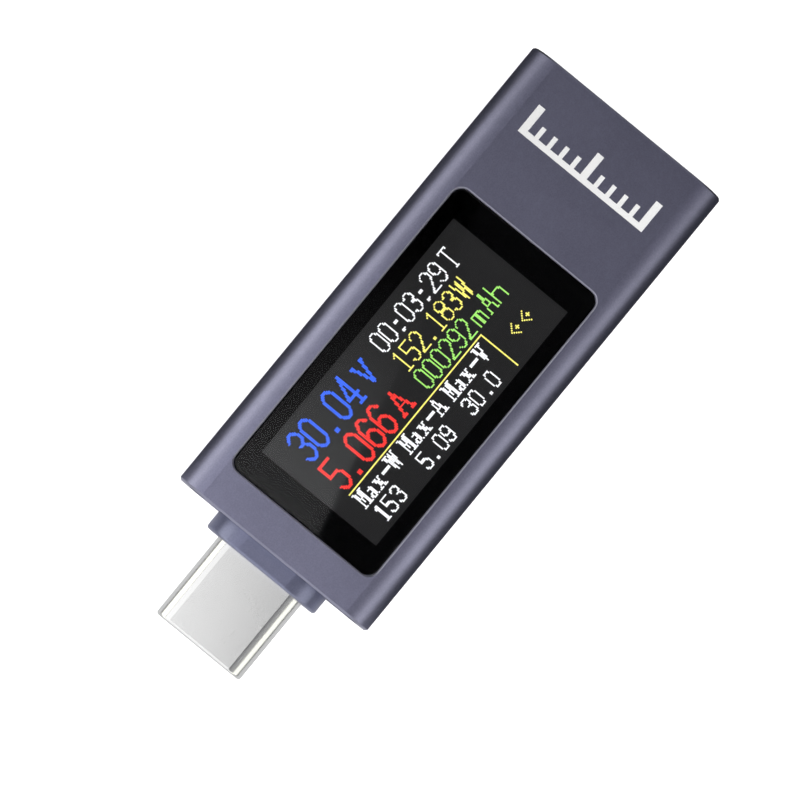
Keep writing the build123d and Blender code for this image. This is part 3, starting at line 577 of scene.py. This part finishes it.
# Each character is one or more strokes in a cell one wide and one high, y running down
ROUND = [(0.3, 0), (0.7, 0), (1, 0.2), (1, 0.8), (0.7, 1), (0.3, 1), (0, 0.8), (0, 0.2)]
STROKES = {
    "0": [[*ROUND, ROUND[0]]],
    "1": [[(0.15, 0.16), (0.5, 0), (0.5, 1)], [(0.15, 1), (0.85, 1)]],
    "2": [[(0, 0.24), (0, 0.16), (0.3, 0), (0.7, 0), (1, 0.17), (1, 0.38), (0, 1), (1, 1)]],
    "3": [[(0, 0.17), (0.3, 0), (0.7, 0), (1, 0.17), (1, 0.32), (0.7, 0.46), (0.4, 0.46)],
          [(0.7, 0.46), (1, 0.62), (1, 0.83), (0.7, 1), (0.3, 1), (0, 0.83)]],
    "4": [[(0.75, 1), (0.75, 0), (0, 0.7), (1, 0.7)], [(0.5, 1), (1, 1)]],
    "5": [[(1, 0), (0, 0), (0, 0.42), (0.7, 0.42), (1, 0.56), (1, 0.83), (0.7, 1),
           (0.3, 1), (0, 0.83)]],
    "6": [[(1, 0.14), (0.7, 0), (0.35, 0), (0, 0.25), (0, 0.8), (0.3, 1), (0.7, 1),
           (1, 0.8), (1, 0.62), (0.7, 0.44), (0.3, 0.44), (0, 0.58)]],
    "8": [[(0.3, 0.46), (0, 0.32), (0, 0.15), (0.3, 0), (0.7, 0), (1, 0.15), (1, 0.32),
           (0.7, 0.46), (0.3, 0.46), (0, 0.62), (0, 0.84), (0.3, 1), (0.7, 1), (1, 0.84),
           (1, 0.62), (0.7, 0.46)]],
    "9": [[(0, 0.86), (0.3, 1), (0.65, 1), (1, 0.75), (1, 0.2), (0.7, 0), (0.3, 0),
           (0, 0.2), (0, 0.38), (0.3, 0.56), (0.7, 0.56), (1, 0.42)]],
    ".": [[(0.35, 0.94), (0.5, 0.94)], [(0.35, 1.0), (0.5, 1.0)]],
    ":": [[(0.35, 0.43), (0.6, 0.43)], [(0.35, 0.5), (0.6, 0.5)],
          [(0.35, 0.9), (0.6, 0.9)], [(0.35, 0.97), (0.6, 0.97)]],
    "-": [[(0, 0.5), (0.9, 0.5)]],
    "T": [[(0, 0.08), (0, 0), (1, 0), (1, 0.08)], [(0.5, 0), (0.5, 1)], [(0.3, 1), (0.7, 1)]],
    "V": [[(0.08, 0), (0.5, 1), (0.92, 0)], [(0, 0), (0.18, 0)], [(0.82, 0), (1, 0)]],
    "A": [[(0.08, 1), (0.5, 0), (0.92, 1)], [(0.24, 0.66), (0.76, 0.66)],
          [(0, 1), (0.18, 1)], [(0.82, 1), (1, 1)]],
    "W": [[(0, 0), (0.3, 1), (0.6, 0.1), (0.9, 1), (1.2, 0)]],
    "m": [[(0, 0.42), (0, 1)], [(0, 0.48), (0.28, 0.42), (0.5, 0.5), (0.5, 1)],
          [(0.5, 0.48), (0.78, 0.42), (1, 0.52), (1, 1)]],
    "h": [[(0, 0), (0, 1)], [(0, 0.5), (0.4, 0.42), (0.8, 0.42), (1, 0.56), (1, 1)]],
    "<": [[(1, 0), (0, 0.5), (1, 1)], [(0.85, 0.5), (1.35, 0.5)], [(1.1, 0.4), (1.1, 0.6)]],
}

# The labels' face has thick uprights and thin slants, and small feet
SERIF = {
    "M": [[(0.2, 0), (0.2, 1)], [(1.0, 0), (1.0, 1)], [(1.2, 0), (1.2, 1)],
          [(0.2, 0), (0.4, 0.2), (0.6, 0.7), (0.8, 0.2), (1.0, 0)],
          [(0, 0), (0.2, 0)], [(0, 1), (0.4, 1)], [(0.8, 1), (1.4, 1)], [(1.2, 0), (1.4, 0)]],
    "a": [[(0.2, 0.45), (0.6, 0.4), (0.8, 0.5), (0.8, 0.9), (1.0, 1)], [(0.6, 0.45), (0.6, 1)],
          [(0.6, 0.68), (0.2, 0.74), (0.05, 0.88), (0.2, 1), (0.6, 0.95)]],
    "x": [[(0.1, 0.4), (0.9, 1)], [(0.3, 0.4), (1.1, 1)], [(0.9, 0.4), (0.1, 1)],
          [(0, 0.4), (0.4, 0.4)], [(0.8, 0.4), (1.1, 0.4)], [(0, 1), (0.3, 1)],
          [(0.8, 1), (1.2, 1)]],
    "-": [[(0.1, 0.48), (1.1, 0.48)], [(0.1, 0.55), (1.1, 0.55)]],
    "W": [[(0, 0), (0.35, 1), (0.65, 0.1), (0.95, 1), (1.3, 0)],
          [(0.2, 0), (0.45, 0.75)], [(0.8, 0), (1.05, 0.75)], [(-0.1, 0), (0.3, 0)]],
    "A": [[(0.1, 1), (0.6, 0), (1.1, 1)], [(0.75, 0.1), (1.2, 1)], [(0.3, 0.65), (0.9, 0.65)],
          [(0, 1), (0.3, 1)], [(0.8, 1), (1.3, 1)]],
    "V": [[(0.1, 0), (0.6, 1), (1.15, 0)], [(0.3, 0), (0.7, 0.8)], [(0, 0), (0.4, 0)],
          [(0.9, 0), (1.3, 0)]],
}


class Line:
    """A line of text on the dot grid: where it starts, how far apart its cells are, how large
    its characters are and how thick, and the face that they are drawn in."""

    def __init__(self, text, column, row, step, wide, high, thick=1.15, face=STROKES):
        self.text = text
        self.column = column
        self.row = row
        self.step = step
        self.wide = wide
        self.high = high
        self.thick = thick
        self.face = face

    def segments(self):
        """Every straight stroke as an array of (x0, y0, x1, y1) in dots."""
        found = []
        for place, letter in enumerate(self.text):
            for stroke in self.face[letter]:
                points = np.array(stroke, float) * (self.wide, self.high)
                points += (self.column + round(place * self.step), self.row)
                found.append(np.hstack([points[:-1], points[1:]]))
        return np.vstack(found)

    def lit(self, columns, rows):
        """Which dots of the grid the line lights."""
        return lit_cells(self.segments(), self.thick, columns, rows)


def lit_cells(segments, thick, columns, rows):
    """Which dots are lit: those whose centre is within half a stroke of a segment. The nearest
    point of a segment a to b from p is a + t (b - a), with t = (p - a).(b - a) / |b - a|^2 kept
    between 0 and 1."""
    column, row = np.meshgrid(np.arange(columns) + 0.5, np.arange(rows) + 0.5)
    p = np.stack([column.ravel(), row.ravel()], 1)[:, None, :]
    a = segments[None, :, :2]
    run = segments[None, :, 2:] - a
    t = ((p - a) * run).sum(2) / np.maximum((run**2).sum(2), 1e-9)
    near = a + np.clip(t, 0, 1)[..., None] * run
    gap = np.sqrt(((p - near) ** 2).sum(2)).min(1)
    return (gap <= thick / 2).reshape(rows, columns)


def pixel_piece(name, lit, settings, material):
    """Each lit dot as a thin closed box on the panel: its low corner is the grid's corner plus
    the pitch times its column and row, drawn in by the gap between dots."""
    row, column = np.nonzero(lit)
    pitch = settings.pitch
    left = GLASS_CENTRE.x + settings.shift_x - pitch * settings.columns / 2
    top = GLASS_CENTRE.y + settings.shift_y + pitch * settings.rows / 2
    gap = pitch * (1 - settings.fill) / 2
    floor = PANEL_HIGH.z + 0.002 * MM
    low = np.stack([left + column * pitch + gap, top - (row + 1) * pitch + gap,
                    np.full(len(row), floor)], 1)
    side = pitch - 2 * gap
    high = low + (side, side, 0.012 * MM)
    points, faces = cuboids(low, high)
    return piece(name, points, faces, material)


class MESH_OT_meter_display(Operator):
    """Light the display's readings, dot by dot"""

    bl_idname = "mesh.meter_display"
    bl_label = "Light the Display"

    def execute(self, context):
        settings = context.scene.meter_display
        blue, red, white, yellow, green = (
            lit_pixel(f"lit_{name}", getattr(settings, name), settings.glow)
            for name in ("volts", "amps", "white", "yellow", "green")
        )
        large = {"step": 11.1, "wide": 8.0, "thick": 1.9}
        small = {"step": 8.0, "wide": 6.0, "high": 14.0}
        peak = {"step": 7.6, "wide": 5.0, "high": 11.0, "face": SERIF}
        record = {"step": 7.4, "wide": 5.0, "high": 11.0, "thick": 1.3}
        readings = [
            ("volts_reading", blue, [Line("30.04", 1.0, 2.0, high=21.0, **large),
                                     Line("V", 60.0, 6.0, 11, 9.0, 15.0, 1.8)]),
            ("amps_reading", red, [Line("5.066", 1.0, 29.0, high=21.0, **large),
                                   Line("A", 59.0, 33.0, 11, 10.0, 16.0, 1.8)]),
            ("timer_reading", white, [Line("00:03:29", 81.5, 1.5, **small),
                                      Line("T", 148.5, 1.5, **small)]),
            ("power_reading", yellow, [Line("152.183", 81.5, 19.5, **small),
                                       Line("W", 138.5, 19.5, 8, 6.0, 14.0)]),
            ("charge_reading", green, [Line("000292", 81.5, 36.5, **small),
                                       Line("mAh", 131.5, 36.5, 9.7, 7.0, 14.0)]),
            ("peak_labels", white, [Line("Max-W", 0.5, 55.5, **peak),
                                    Line("Max-A", 43.5, 55.5, **peak),
                                    Line("Max-V", 85.5, 55.5, **peak)]),
            ("peak_readings", white, [Line("153", 2.5, 70.5, **record),
                                      Line("5.09", 43.5, 70.5, **record),
                                      Line("30.0", 86.5, 70.5, **record)]),
            ("direction_arrows", yellow, [Line("<<", 140.5, 63.0, 10, 4.5, 9.0)]),
        ]
        grid = (settings.columns, settings.rows)
        for name, material, lines in readings:
            lit = np.logical_or.reduce([line.lit(*grid) for line in lines])
            pixel_piece(name, lit, settings, material)
        frame_lines = np.array([(0.5, 53.5, 127.5, 53.5), (127.5, 53.5, 127.5, 82.5)])
        pixel_piece("divider_line", lit_cells(frame_lines, 1.1, *grid), settings, yellow)
        return {"FINISHED"}


# ---------------------------------------------------------------- printed scale


class MESH_OT_meter_print(Operator):
    """Print the graduated scale on the top face"""

    bl_idname = "mesh.meter_print"
    bl_label = "Print the Scale"

    def execute(self, context):
        settings = context.scene.meter_print
        count = settings.ticks
        number = np.arange(count)
        long_tick = number % 5 == 0
        height = np.where(long_tick, settings.height, 0.56 * settings.height)
        width = np.where(long_tick, settings.tick, 0.62 * settings.tick)
        y = (number / (count - 1) - 0.5) * settings.span
        base_x = HOUSING_LOW.x + settings.centre - settings.height / 2
        low_z = HOUSING_HIGH.z - 0.02 * MM
        high_z = HOUSING_HIGH.z + settings.ink
        rail = 0.75 * settings.tick
        low = np.stack([np.full(count, base_x + rail), y - width / 2, np.full(count, low_z)], 1)
        high = np.stack([base_x + height, y + width / 2, np.full(count, high_z)], 1)
        half = (settings.span + settings.tick) / 2
        low = np.vstack([low, [base_x, -half, low_z]])
        high = np.vstack([high, [base_x + rail, half, high_z]])
        points, faces = cuboids(low, high)
        piece("printed_scale", points, faces, printed_white("print_white"))
        return {"FINISHED"}


# ---------------------------------------------------------------- switch dome


class MESH_OT_meter_dome(Operator):
    """Form the switch's snap dome as it stands at rest, before a press of the button flattens it
    """

    bl_idname = "mesh.meter_dome"
    bl_label = "Form the Dome"

    def execute(self, context):
        centre = (DOME_LOW + DOME_HIGH) / 2
        radius = (DOME_HIGH.x - DOME_LOW.x) / 2
        rise = DOME_HIGH.z - DOME_LOW.z
        sheet = 0.06 * MM
        rings, spokes = 25, 64
        # A raised cosine from the crown to a flat rim: z = rim - rise (1 + cos(pi s)) / 2
        share = np.linspace(0, 1, rings)
        swell = (1 + np.cos(np.pi * np.clip(share / 0.9, 0, 1))) / 2
        profile_z = DOME_HIGH.z - sheet - (rise - sheet) * swell
        turn = np.linspace(0, 2 * np.pi, spokes, endpoint=False)
        r, a = np.meshgrid(share[1:] * radius, turn, indexing="ij")
        ring_z = np.repeat(profile_z[1:, None], spokes, 1)
        layer = np.stack([centre.x + r * np.cos(a), centre.y + r * np.sin(a), ring_z], 2)
        layer = layer.reshape(-1, 3)
        crown = np.array([[centre.x, centre.y, profile_z[0]]])
        under = np.vstack([crown, layer])
        points = np.vstack([under, under + (0, 0, sheet)])
        size = len(under)
        ring = np.arange(rings - 2)[:, None] * spokes + 1
        here = np.arange(spokes)[None, :]
        then = (here + 1) % spokes
        quads = np.stack([ring + here, ring + spokes + here, ring + spokes + then, ring + then], 2)
        quads = quads.reshape(-1, 4)
        fan = np.stack([np.zeros(spokes, int), 1 + here[0], 1 + then[0]], 1)
        outer = 1 + (rings - 2) * spokes
        rim = np.stack([outer + here[0], outer + here[0] + size, outer + then[0] + size,
                        outer + then[0]], 1)
        faces = [*quads[:, ::-1].tolist(), *fan[:, ::-1].tolist(), *(quads + size).tolist(),
                 *(fan + size).tolist(), *rim[:, ::-1].tolist()]
        dome = piece("snap_dome", points, faces, plated("dome_steel", (0.62, 0.61, 0.6)))
        dome.data.polygons.foreach_set("use_smooth", np.ones(len(faces), bool))
        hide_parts("switch_dome")
        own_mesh(dome)
        return {"FINISHED"}


# ---------------------------------------------------------------- finishes of the frame's nodes


def dress(material, *nodes):
    """Give CAD nodes a finish."""
    for name in nodes:
        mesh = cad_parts[name].data
        mesh.materials.clear()
        mesh.materials.append(material)


class MATERIAL_OT_meter_case(Operator):
    """Finish the sleeve, its end caps, the glass and what bonds it"""

    bl_idname = "material.meter_case"
    bl_label = "Finish the Case"

    def execute(self, context):
        finish = context.scene.meter_finish
        sleeve = anodised(
            "sleeve_anodised", finish.sleeve, HOUSING_LOW, HOUSING_HIGH, 1.0, window=True
        )
        dress(sleeve, "housing")
        cap_low = Vector((PLUG_LOW.x + 7.55 * MM, HOUSING_LOW.y, HOUSING_LOW.z))
        cap = anodised("cap_anodised", finish.cap, cap_low, HOUSING_HIGH, 0.5, 0.85, 0.30)
        dress(cap, "plug_end_cap", "socket_end_cap")
        dress(clear_glass("cover_clear"), "cover_glass")
        dress(display_ink("border_ink"), "glass_mask")
        dress(sheet_film("bonding_tape", (0.02, 0.02, 0.02), 0.6), "window_tape")
        amber = sheet_film("amber_film", (0.62, 0.30, 0.05), 0.22, Coat_Weight=0.4)
        dress(amber, "insulating_sheet")
        return {"FINISHED"}


class MATERIAL_OT_meter_connectors(Operator):
    """Finish the plug and the socket"""

    bl_idname = "material.meter_connectors"
    bl_label = "Finish the Connectors"

    def execute(self, context):
        finish = context.scene.meter_finish
        dress(plated("satin_nickel", finish.nickel), "plug_shell", "socket_shell", "switch_cover")
        spring = plated("spring_steel", (0.58, 0.57, 0.56), 0.28)
        dress(spring, "plug_latch", "plug_ground_springs", "socket_mid_plate", "switch_dome")
        gold = contact_gold("contact_gold", tuple(finish.gold))
        dress(gold, "plug_contacts_upper", "plug_contacts_lower", "socket_contacts_upper",
              "socket_contacts_lower")
        black = moulded("insert_black", (0.014, 0.014, 0.015), 0.42, fleck=0.25)
        dress(black, "plug_insert", "socket_tongue", "switch_base")
        button = moulded("button_black", (0.022, 0.022, 0.025), 0.38, grain=0.12, depth=0.008)
        dress(button, "clear_button", "switch_plunger")
        return {"FINISHED"}


class MATERIAL_OT_meter_panel(Operator):
    """Finish the layers of the display module"""

    bl_idname = "material.meter_panel"
    bl_label = "Finish the Display Module"

    def execute(self, context):
        display = context.scene.meter_display
        dress(lit_polariser("panel_front", display.pitch, display.leak), "front_polariser")
        dress(sheet_film("panel_rear", (0.02, 0.02, 0.022), 0.3), "rear_polariser")
        dress(moulded("frame_white", (0.78, 0.78, 0.76), 0.45), "display_frame")
        dress(sheet_film("silver_sheet", (0.9, 0.9, 0.9), 0.08, metallic=1.0), "reflector_sheet")
        dress(sheet_film("guide_acrylic", (0.82, 0.86, 0.9), 0.12, Coat_Weight=0.5), "light_guide")
        dress(sheet_film("diffuser_white", (0.88, 0.88, 0.88), 0.6), "diffuser_sheet")
        dress(moulded("led_phosphor", (0.95, 0.82, 0.25), 0.35), "backlight_leds")
        cell = sheet_film("cell_glass", (0.34, 0.37, 0.37), 0.06, Coat_Weight=1.0)
        dress(cell, "rear_cell_glass", "front_cell_glass")
        flex = sheet_film("flex_polyimide", (0.50, 0.21, 0.035), 0.3, Coat_Weight=0.3)
        dress(flex, "display_flex")
        dress(foam("foam_black"), "display_foam")
        return {"FINISHED"}


class MATERIAL_OT_meter_board(Operator):
    """Finish the board and the parts on it"""

    bl_idname = "material.meter_board"
    bl_label = "Finish the Board"

    def execute(self, context):
        dress(circuit_board("board_green"), "main_board")
        epoxy = moulded("chip_epoxy", (0.020, 0.020, 0.022), 0.55, fleck=0.4, grain=0.06)
        dress(epoxy, "controller_chip", "meter_chip", "converter_chip", "surge_diode",
              "surge_arrays", "display_driver")
        tin = plated("tin_plate", (0.74, 0.73, 0.70), 0.34)
        dress(tin, "controller_leads", "meter_chip_leads", "converter_leads", "solder_joints",
              "clock_crystal")
        dress(plated("shunt_alloy", (0.50, 0.45, 0.42), 0.4), "shunt_resistor")
        dress(ferrite("core_ferrite"), "power_inductor")
        dress(copper_wire("winding_copper"), "inductor_winding")
        dipped, half_length = (0.75, 0.74, 0.7), 0.8 * MM
        for name, fired, node in (
            ("capacitor_fired", (0.36, 0.20, 0.10), "capacitors"),
            ("resistor_fired", (0.03, 0.03, 0.034), "resistors"),
        ):
            dress(chip_component(name, fired, dipped, half_length), node)
        return {"FINISHED"}


# ---------------------------------------------------------------- studio


def card(name, centre, size, target, strength, colour_now=(1.0, 1.0, 1.0)):
    """A soft light: a rectangle that faces a point, seen in reflections but not by the camera."""
    light = bpy.data.lights.new(name, "AREA")
    light.shape = "RECTANGLE"
    light.size, light.size_y = size
    light.color = colour_now
    # Radiance of an area light is its power over pi times its area
    light.energy = strength * math.pi * size[0] * size[1]
    made = bpy.data.objects.new(name, light)
    place = Vector(centre)
    facing = (Vector(target) - place).to_track_quat("-Z", "Y")
    made.matrix_world = Matrix.Translation(place) @ facing.to_matrix().to_4x4()
    made.visible_camera = False
    bpy.context.scene.collection.objects.link(made)
    return made


class SCENE_OT_meter_studio(Operator):
    """Set the floor, the soft lights and the camera"""

    bl_idname = "scene.meter_studio"
    bl_label = "Set the Studio"

    def execute(self, context):
        studio = context.scene.meter_studio
        self.lay_floor(context, studio)
        self.hang_lights(context)
        self.place_camera(context, studio)
        return {"FINISHED"}

    def lay_floor(self, context, studio):
        reach = 1.5
        mesh = bpy.data.meshes.new("floor")
        corners = [(-reach, -reach, 0), (reach, -reach, 0), (reach, reach, 0), (-reach, reach, 0)]
        mesh.from_pydata(corners, [], [(0, 1, 2, 3)])
        mesh.materials.append(pale_floor("floor_card", tuple(studio.floor)))
        floor = bpy.data.objects.new("floor", mesh)
        floor.visible_glossy = False
        context.scene.collection.objects.link(floor)

    def hang_lights(self, context):
        world = bpy.data.worlds.new("studio")
        world.use_nodes = True
        dim = (0.05, 0.05, 0.055, 1.0)
        world.node_tree.nodes["Background"].inputs["Color"].default_value = dim
        context.scene.world = world
        context.scene.view_settings.view_transform = "Standard"
        # Tall strips at both sides draw the bright line along each rounded edge; they end near
        # the socket, so that the lines dim towards it
        reach, rise, end = 160 * MM, math.radians(27), 38 * MM
        size = (400 * MM, 110 * MM)
        middle_x = end - size[0] / 2
        target = (middle_x, 0.0, MIDDLE_Z)
        warm = (1.0, 1.0, 0.91)
        for name, side, strength in (("strip_left", 1, 1.6), ("strip_right", -1, 1.25)):
            place = (middle_x, side * reach * math.cos(rise), reach * math.sin(rise))
            card(name, place, size, target, strength, warm)
        # Low cards beyond both ends and beside the plug keep their edges from going black
        middle = (0.0, 0.0, MIDDLE_Z)
        card("beyond_plug", (-0.18, 0.0, 0.07), (0.16, 0.13), middle, 1.0)
        card("beyond_socket", (0.22, 0.0, 0.05), (0.20, 0.09), middle, 0.7)
        size = (74 * MM, 90 * MM)
        plug_x = HOUSING_LOW.x - size[0] / 2
        card("below_plug", (plug_x, 0.0, 0.5 * MM), size, (plug_x, 0.0, 1.0), 0.6)
        card("low_fill", (0.0, -85 * MM, 150 * MM), (0.3, 90 * MM), (0.0, -85 * MM, 0.0), 0.3)
        fill = card("high_fill", (0.0, 0.0, 0.8), (0.5, 0.5), (0.0, 0.0, 0.0), 6.6)
        fill.visible_glossy = fill.visible_transmission = False
        self.hang_sail(context)

    def hang_sail(self, context):
        """The main light: a sheet over the plug end that dims towards the socket. Its slanting
        lower edge shows in the cover glass as the line between sheen and black. Its strength is
        ((end - x) / span)^2 as far as a bright plateau, and no less than a dim one at its back."""
        height = 150 * MM
        pivot = Vector((-11.1, -2.2)) * MM
        slope = math.tan(math.radians(13.3))
        left, right, far = -160 * MM, 70 * MM, 130 * MM
        corners = [(left, pivot.y + slope * (left - pivot.x), height),
                   (right, pivot.y + slope * (right - pivot.x), height),
                   (right, far, height), (left, far, height)]
        mesh = bpy.data.meshes.new("sail")
        mesh.from_pydata(corners, [], [(0, 3, 2, 1)])
        paint = Paint("sail_light", (0.0, 0.0, 0.0), 1.0, Specular_IOR_Level=0.0)
        x, y, _ = paint.axes()
        end, span, plateau, back = 20.6 * MM, 31.2 * MM, 1.3, 0.3
        rise = ((end - x) / span).at_least(0.0) ** 2.0
        bright = rise.at_most(plateau).at_least(y.fade(12 * MM, 30 * MM) * back)
        shown = paint.mix((0.0, 0.0, 0.0), (1.0, 1.0, 1.0), bright * (1 / plateau))
        paint.set(Emission_Color=shown, Emission_Strength=plateau)
        mesh.materials.append(paint.material)
        sail = bpy.data.objects.new("sail", mesh)
        sail.visible_camera = False
        context.scene.collection.objects.link(sail)

    def place_camera(self, context, studio):
        aim = Vector((HOUSING_LOW.x + studio.aim, 0.0, 0.0))
        look = Vector((math.sin(studio.lean), 0.0, -math.cos(studio.lean)))
        upward = Vector((math.sin(studio.roll), math.cos(studio.roll), 0.0))
        right = look.cross(upward).normalized()
        upward = right.cross(look)
        turn = Matrix((right, upward, -look)).transposed().to_4x4()
        camera = bpy.data.cameras.new("camera")
        camera.angle = 2 * math.atan(studio.field / 2 / studio.distance)
        camera.clip_start = 0.01
        made = bpy.data.objects.new("camera", camera)
        made.matrix_world = Matrix.Translation(aim - look * studio.distance) @ turn
        context.scene.collection.objects.link(made)
        context.scene.camera = made


# ---------------------------------------------------------------- panel, registration and run

STEPS = (
    MESH_OT_meter_display,
    MESH_OT_meter_print,
    MATERIAL_OT_meter_case,
    MATERIAL_OT_meter_connectors,
    MATERIAL_OT_meter_panel,
    MATERIAL_OT_meter_board,
    MESH_OT_meter_dome,
    SCENE_OT_meter_studio,
)


class VIEW3D_PT_power_meter(Panel):
    """Every step that dresses the meter, in order"""

    bl_label = "Power Meter"
    bl_space_type = "VIEW_3D"
    bl_region_type = "UI"
    bl_category = "Power Meter"

    def draw(self, context):
        for step in STEPS:
            self.layout.operator(step.bl_idname)
        for group in SETTINGS:
            column = self.layout.column(align=True)
            column.label(text=group.replace("_", " ").capitalize())
            held = getattr(context.scene, group)
            for name in held.__annotations__:
                column.prop(held, name)


SETTINGS = {
    "meter_display": DisplaySettings,
    "meter_print": PrintSettings,
    "meter_finish": FinishSettings,
    "meter_studio": StudioSettings,
}
CLASSES = (*SETTINGS.values(), *STEPS, VIEW3D_PT_power_meter)


def register():
    for cls in CLASSES:
        bpy.utils.register_class(cls)
    for name, group in SETTINGS.items():
        setattr(bpy.types.Scene, name, PointerProperty(type=group))


def unregister():
    for name in SETTINGS:
        delattr(bpy.types.Scene, name)
    for cls in reversed(CLASSES):
        bpy.utils.unregister_class(cls)


def main():
    """Register the add-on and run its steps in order."""
    register()
    for step in STEPS:
        group, name = step.bl_idname.split(".")
        getattr(getattr(bpy.ops, group), name)()


if __name__ == "__main__":
    main()
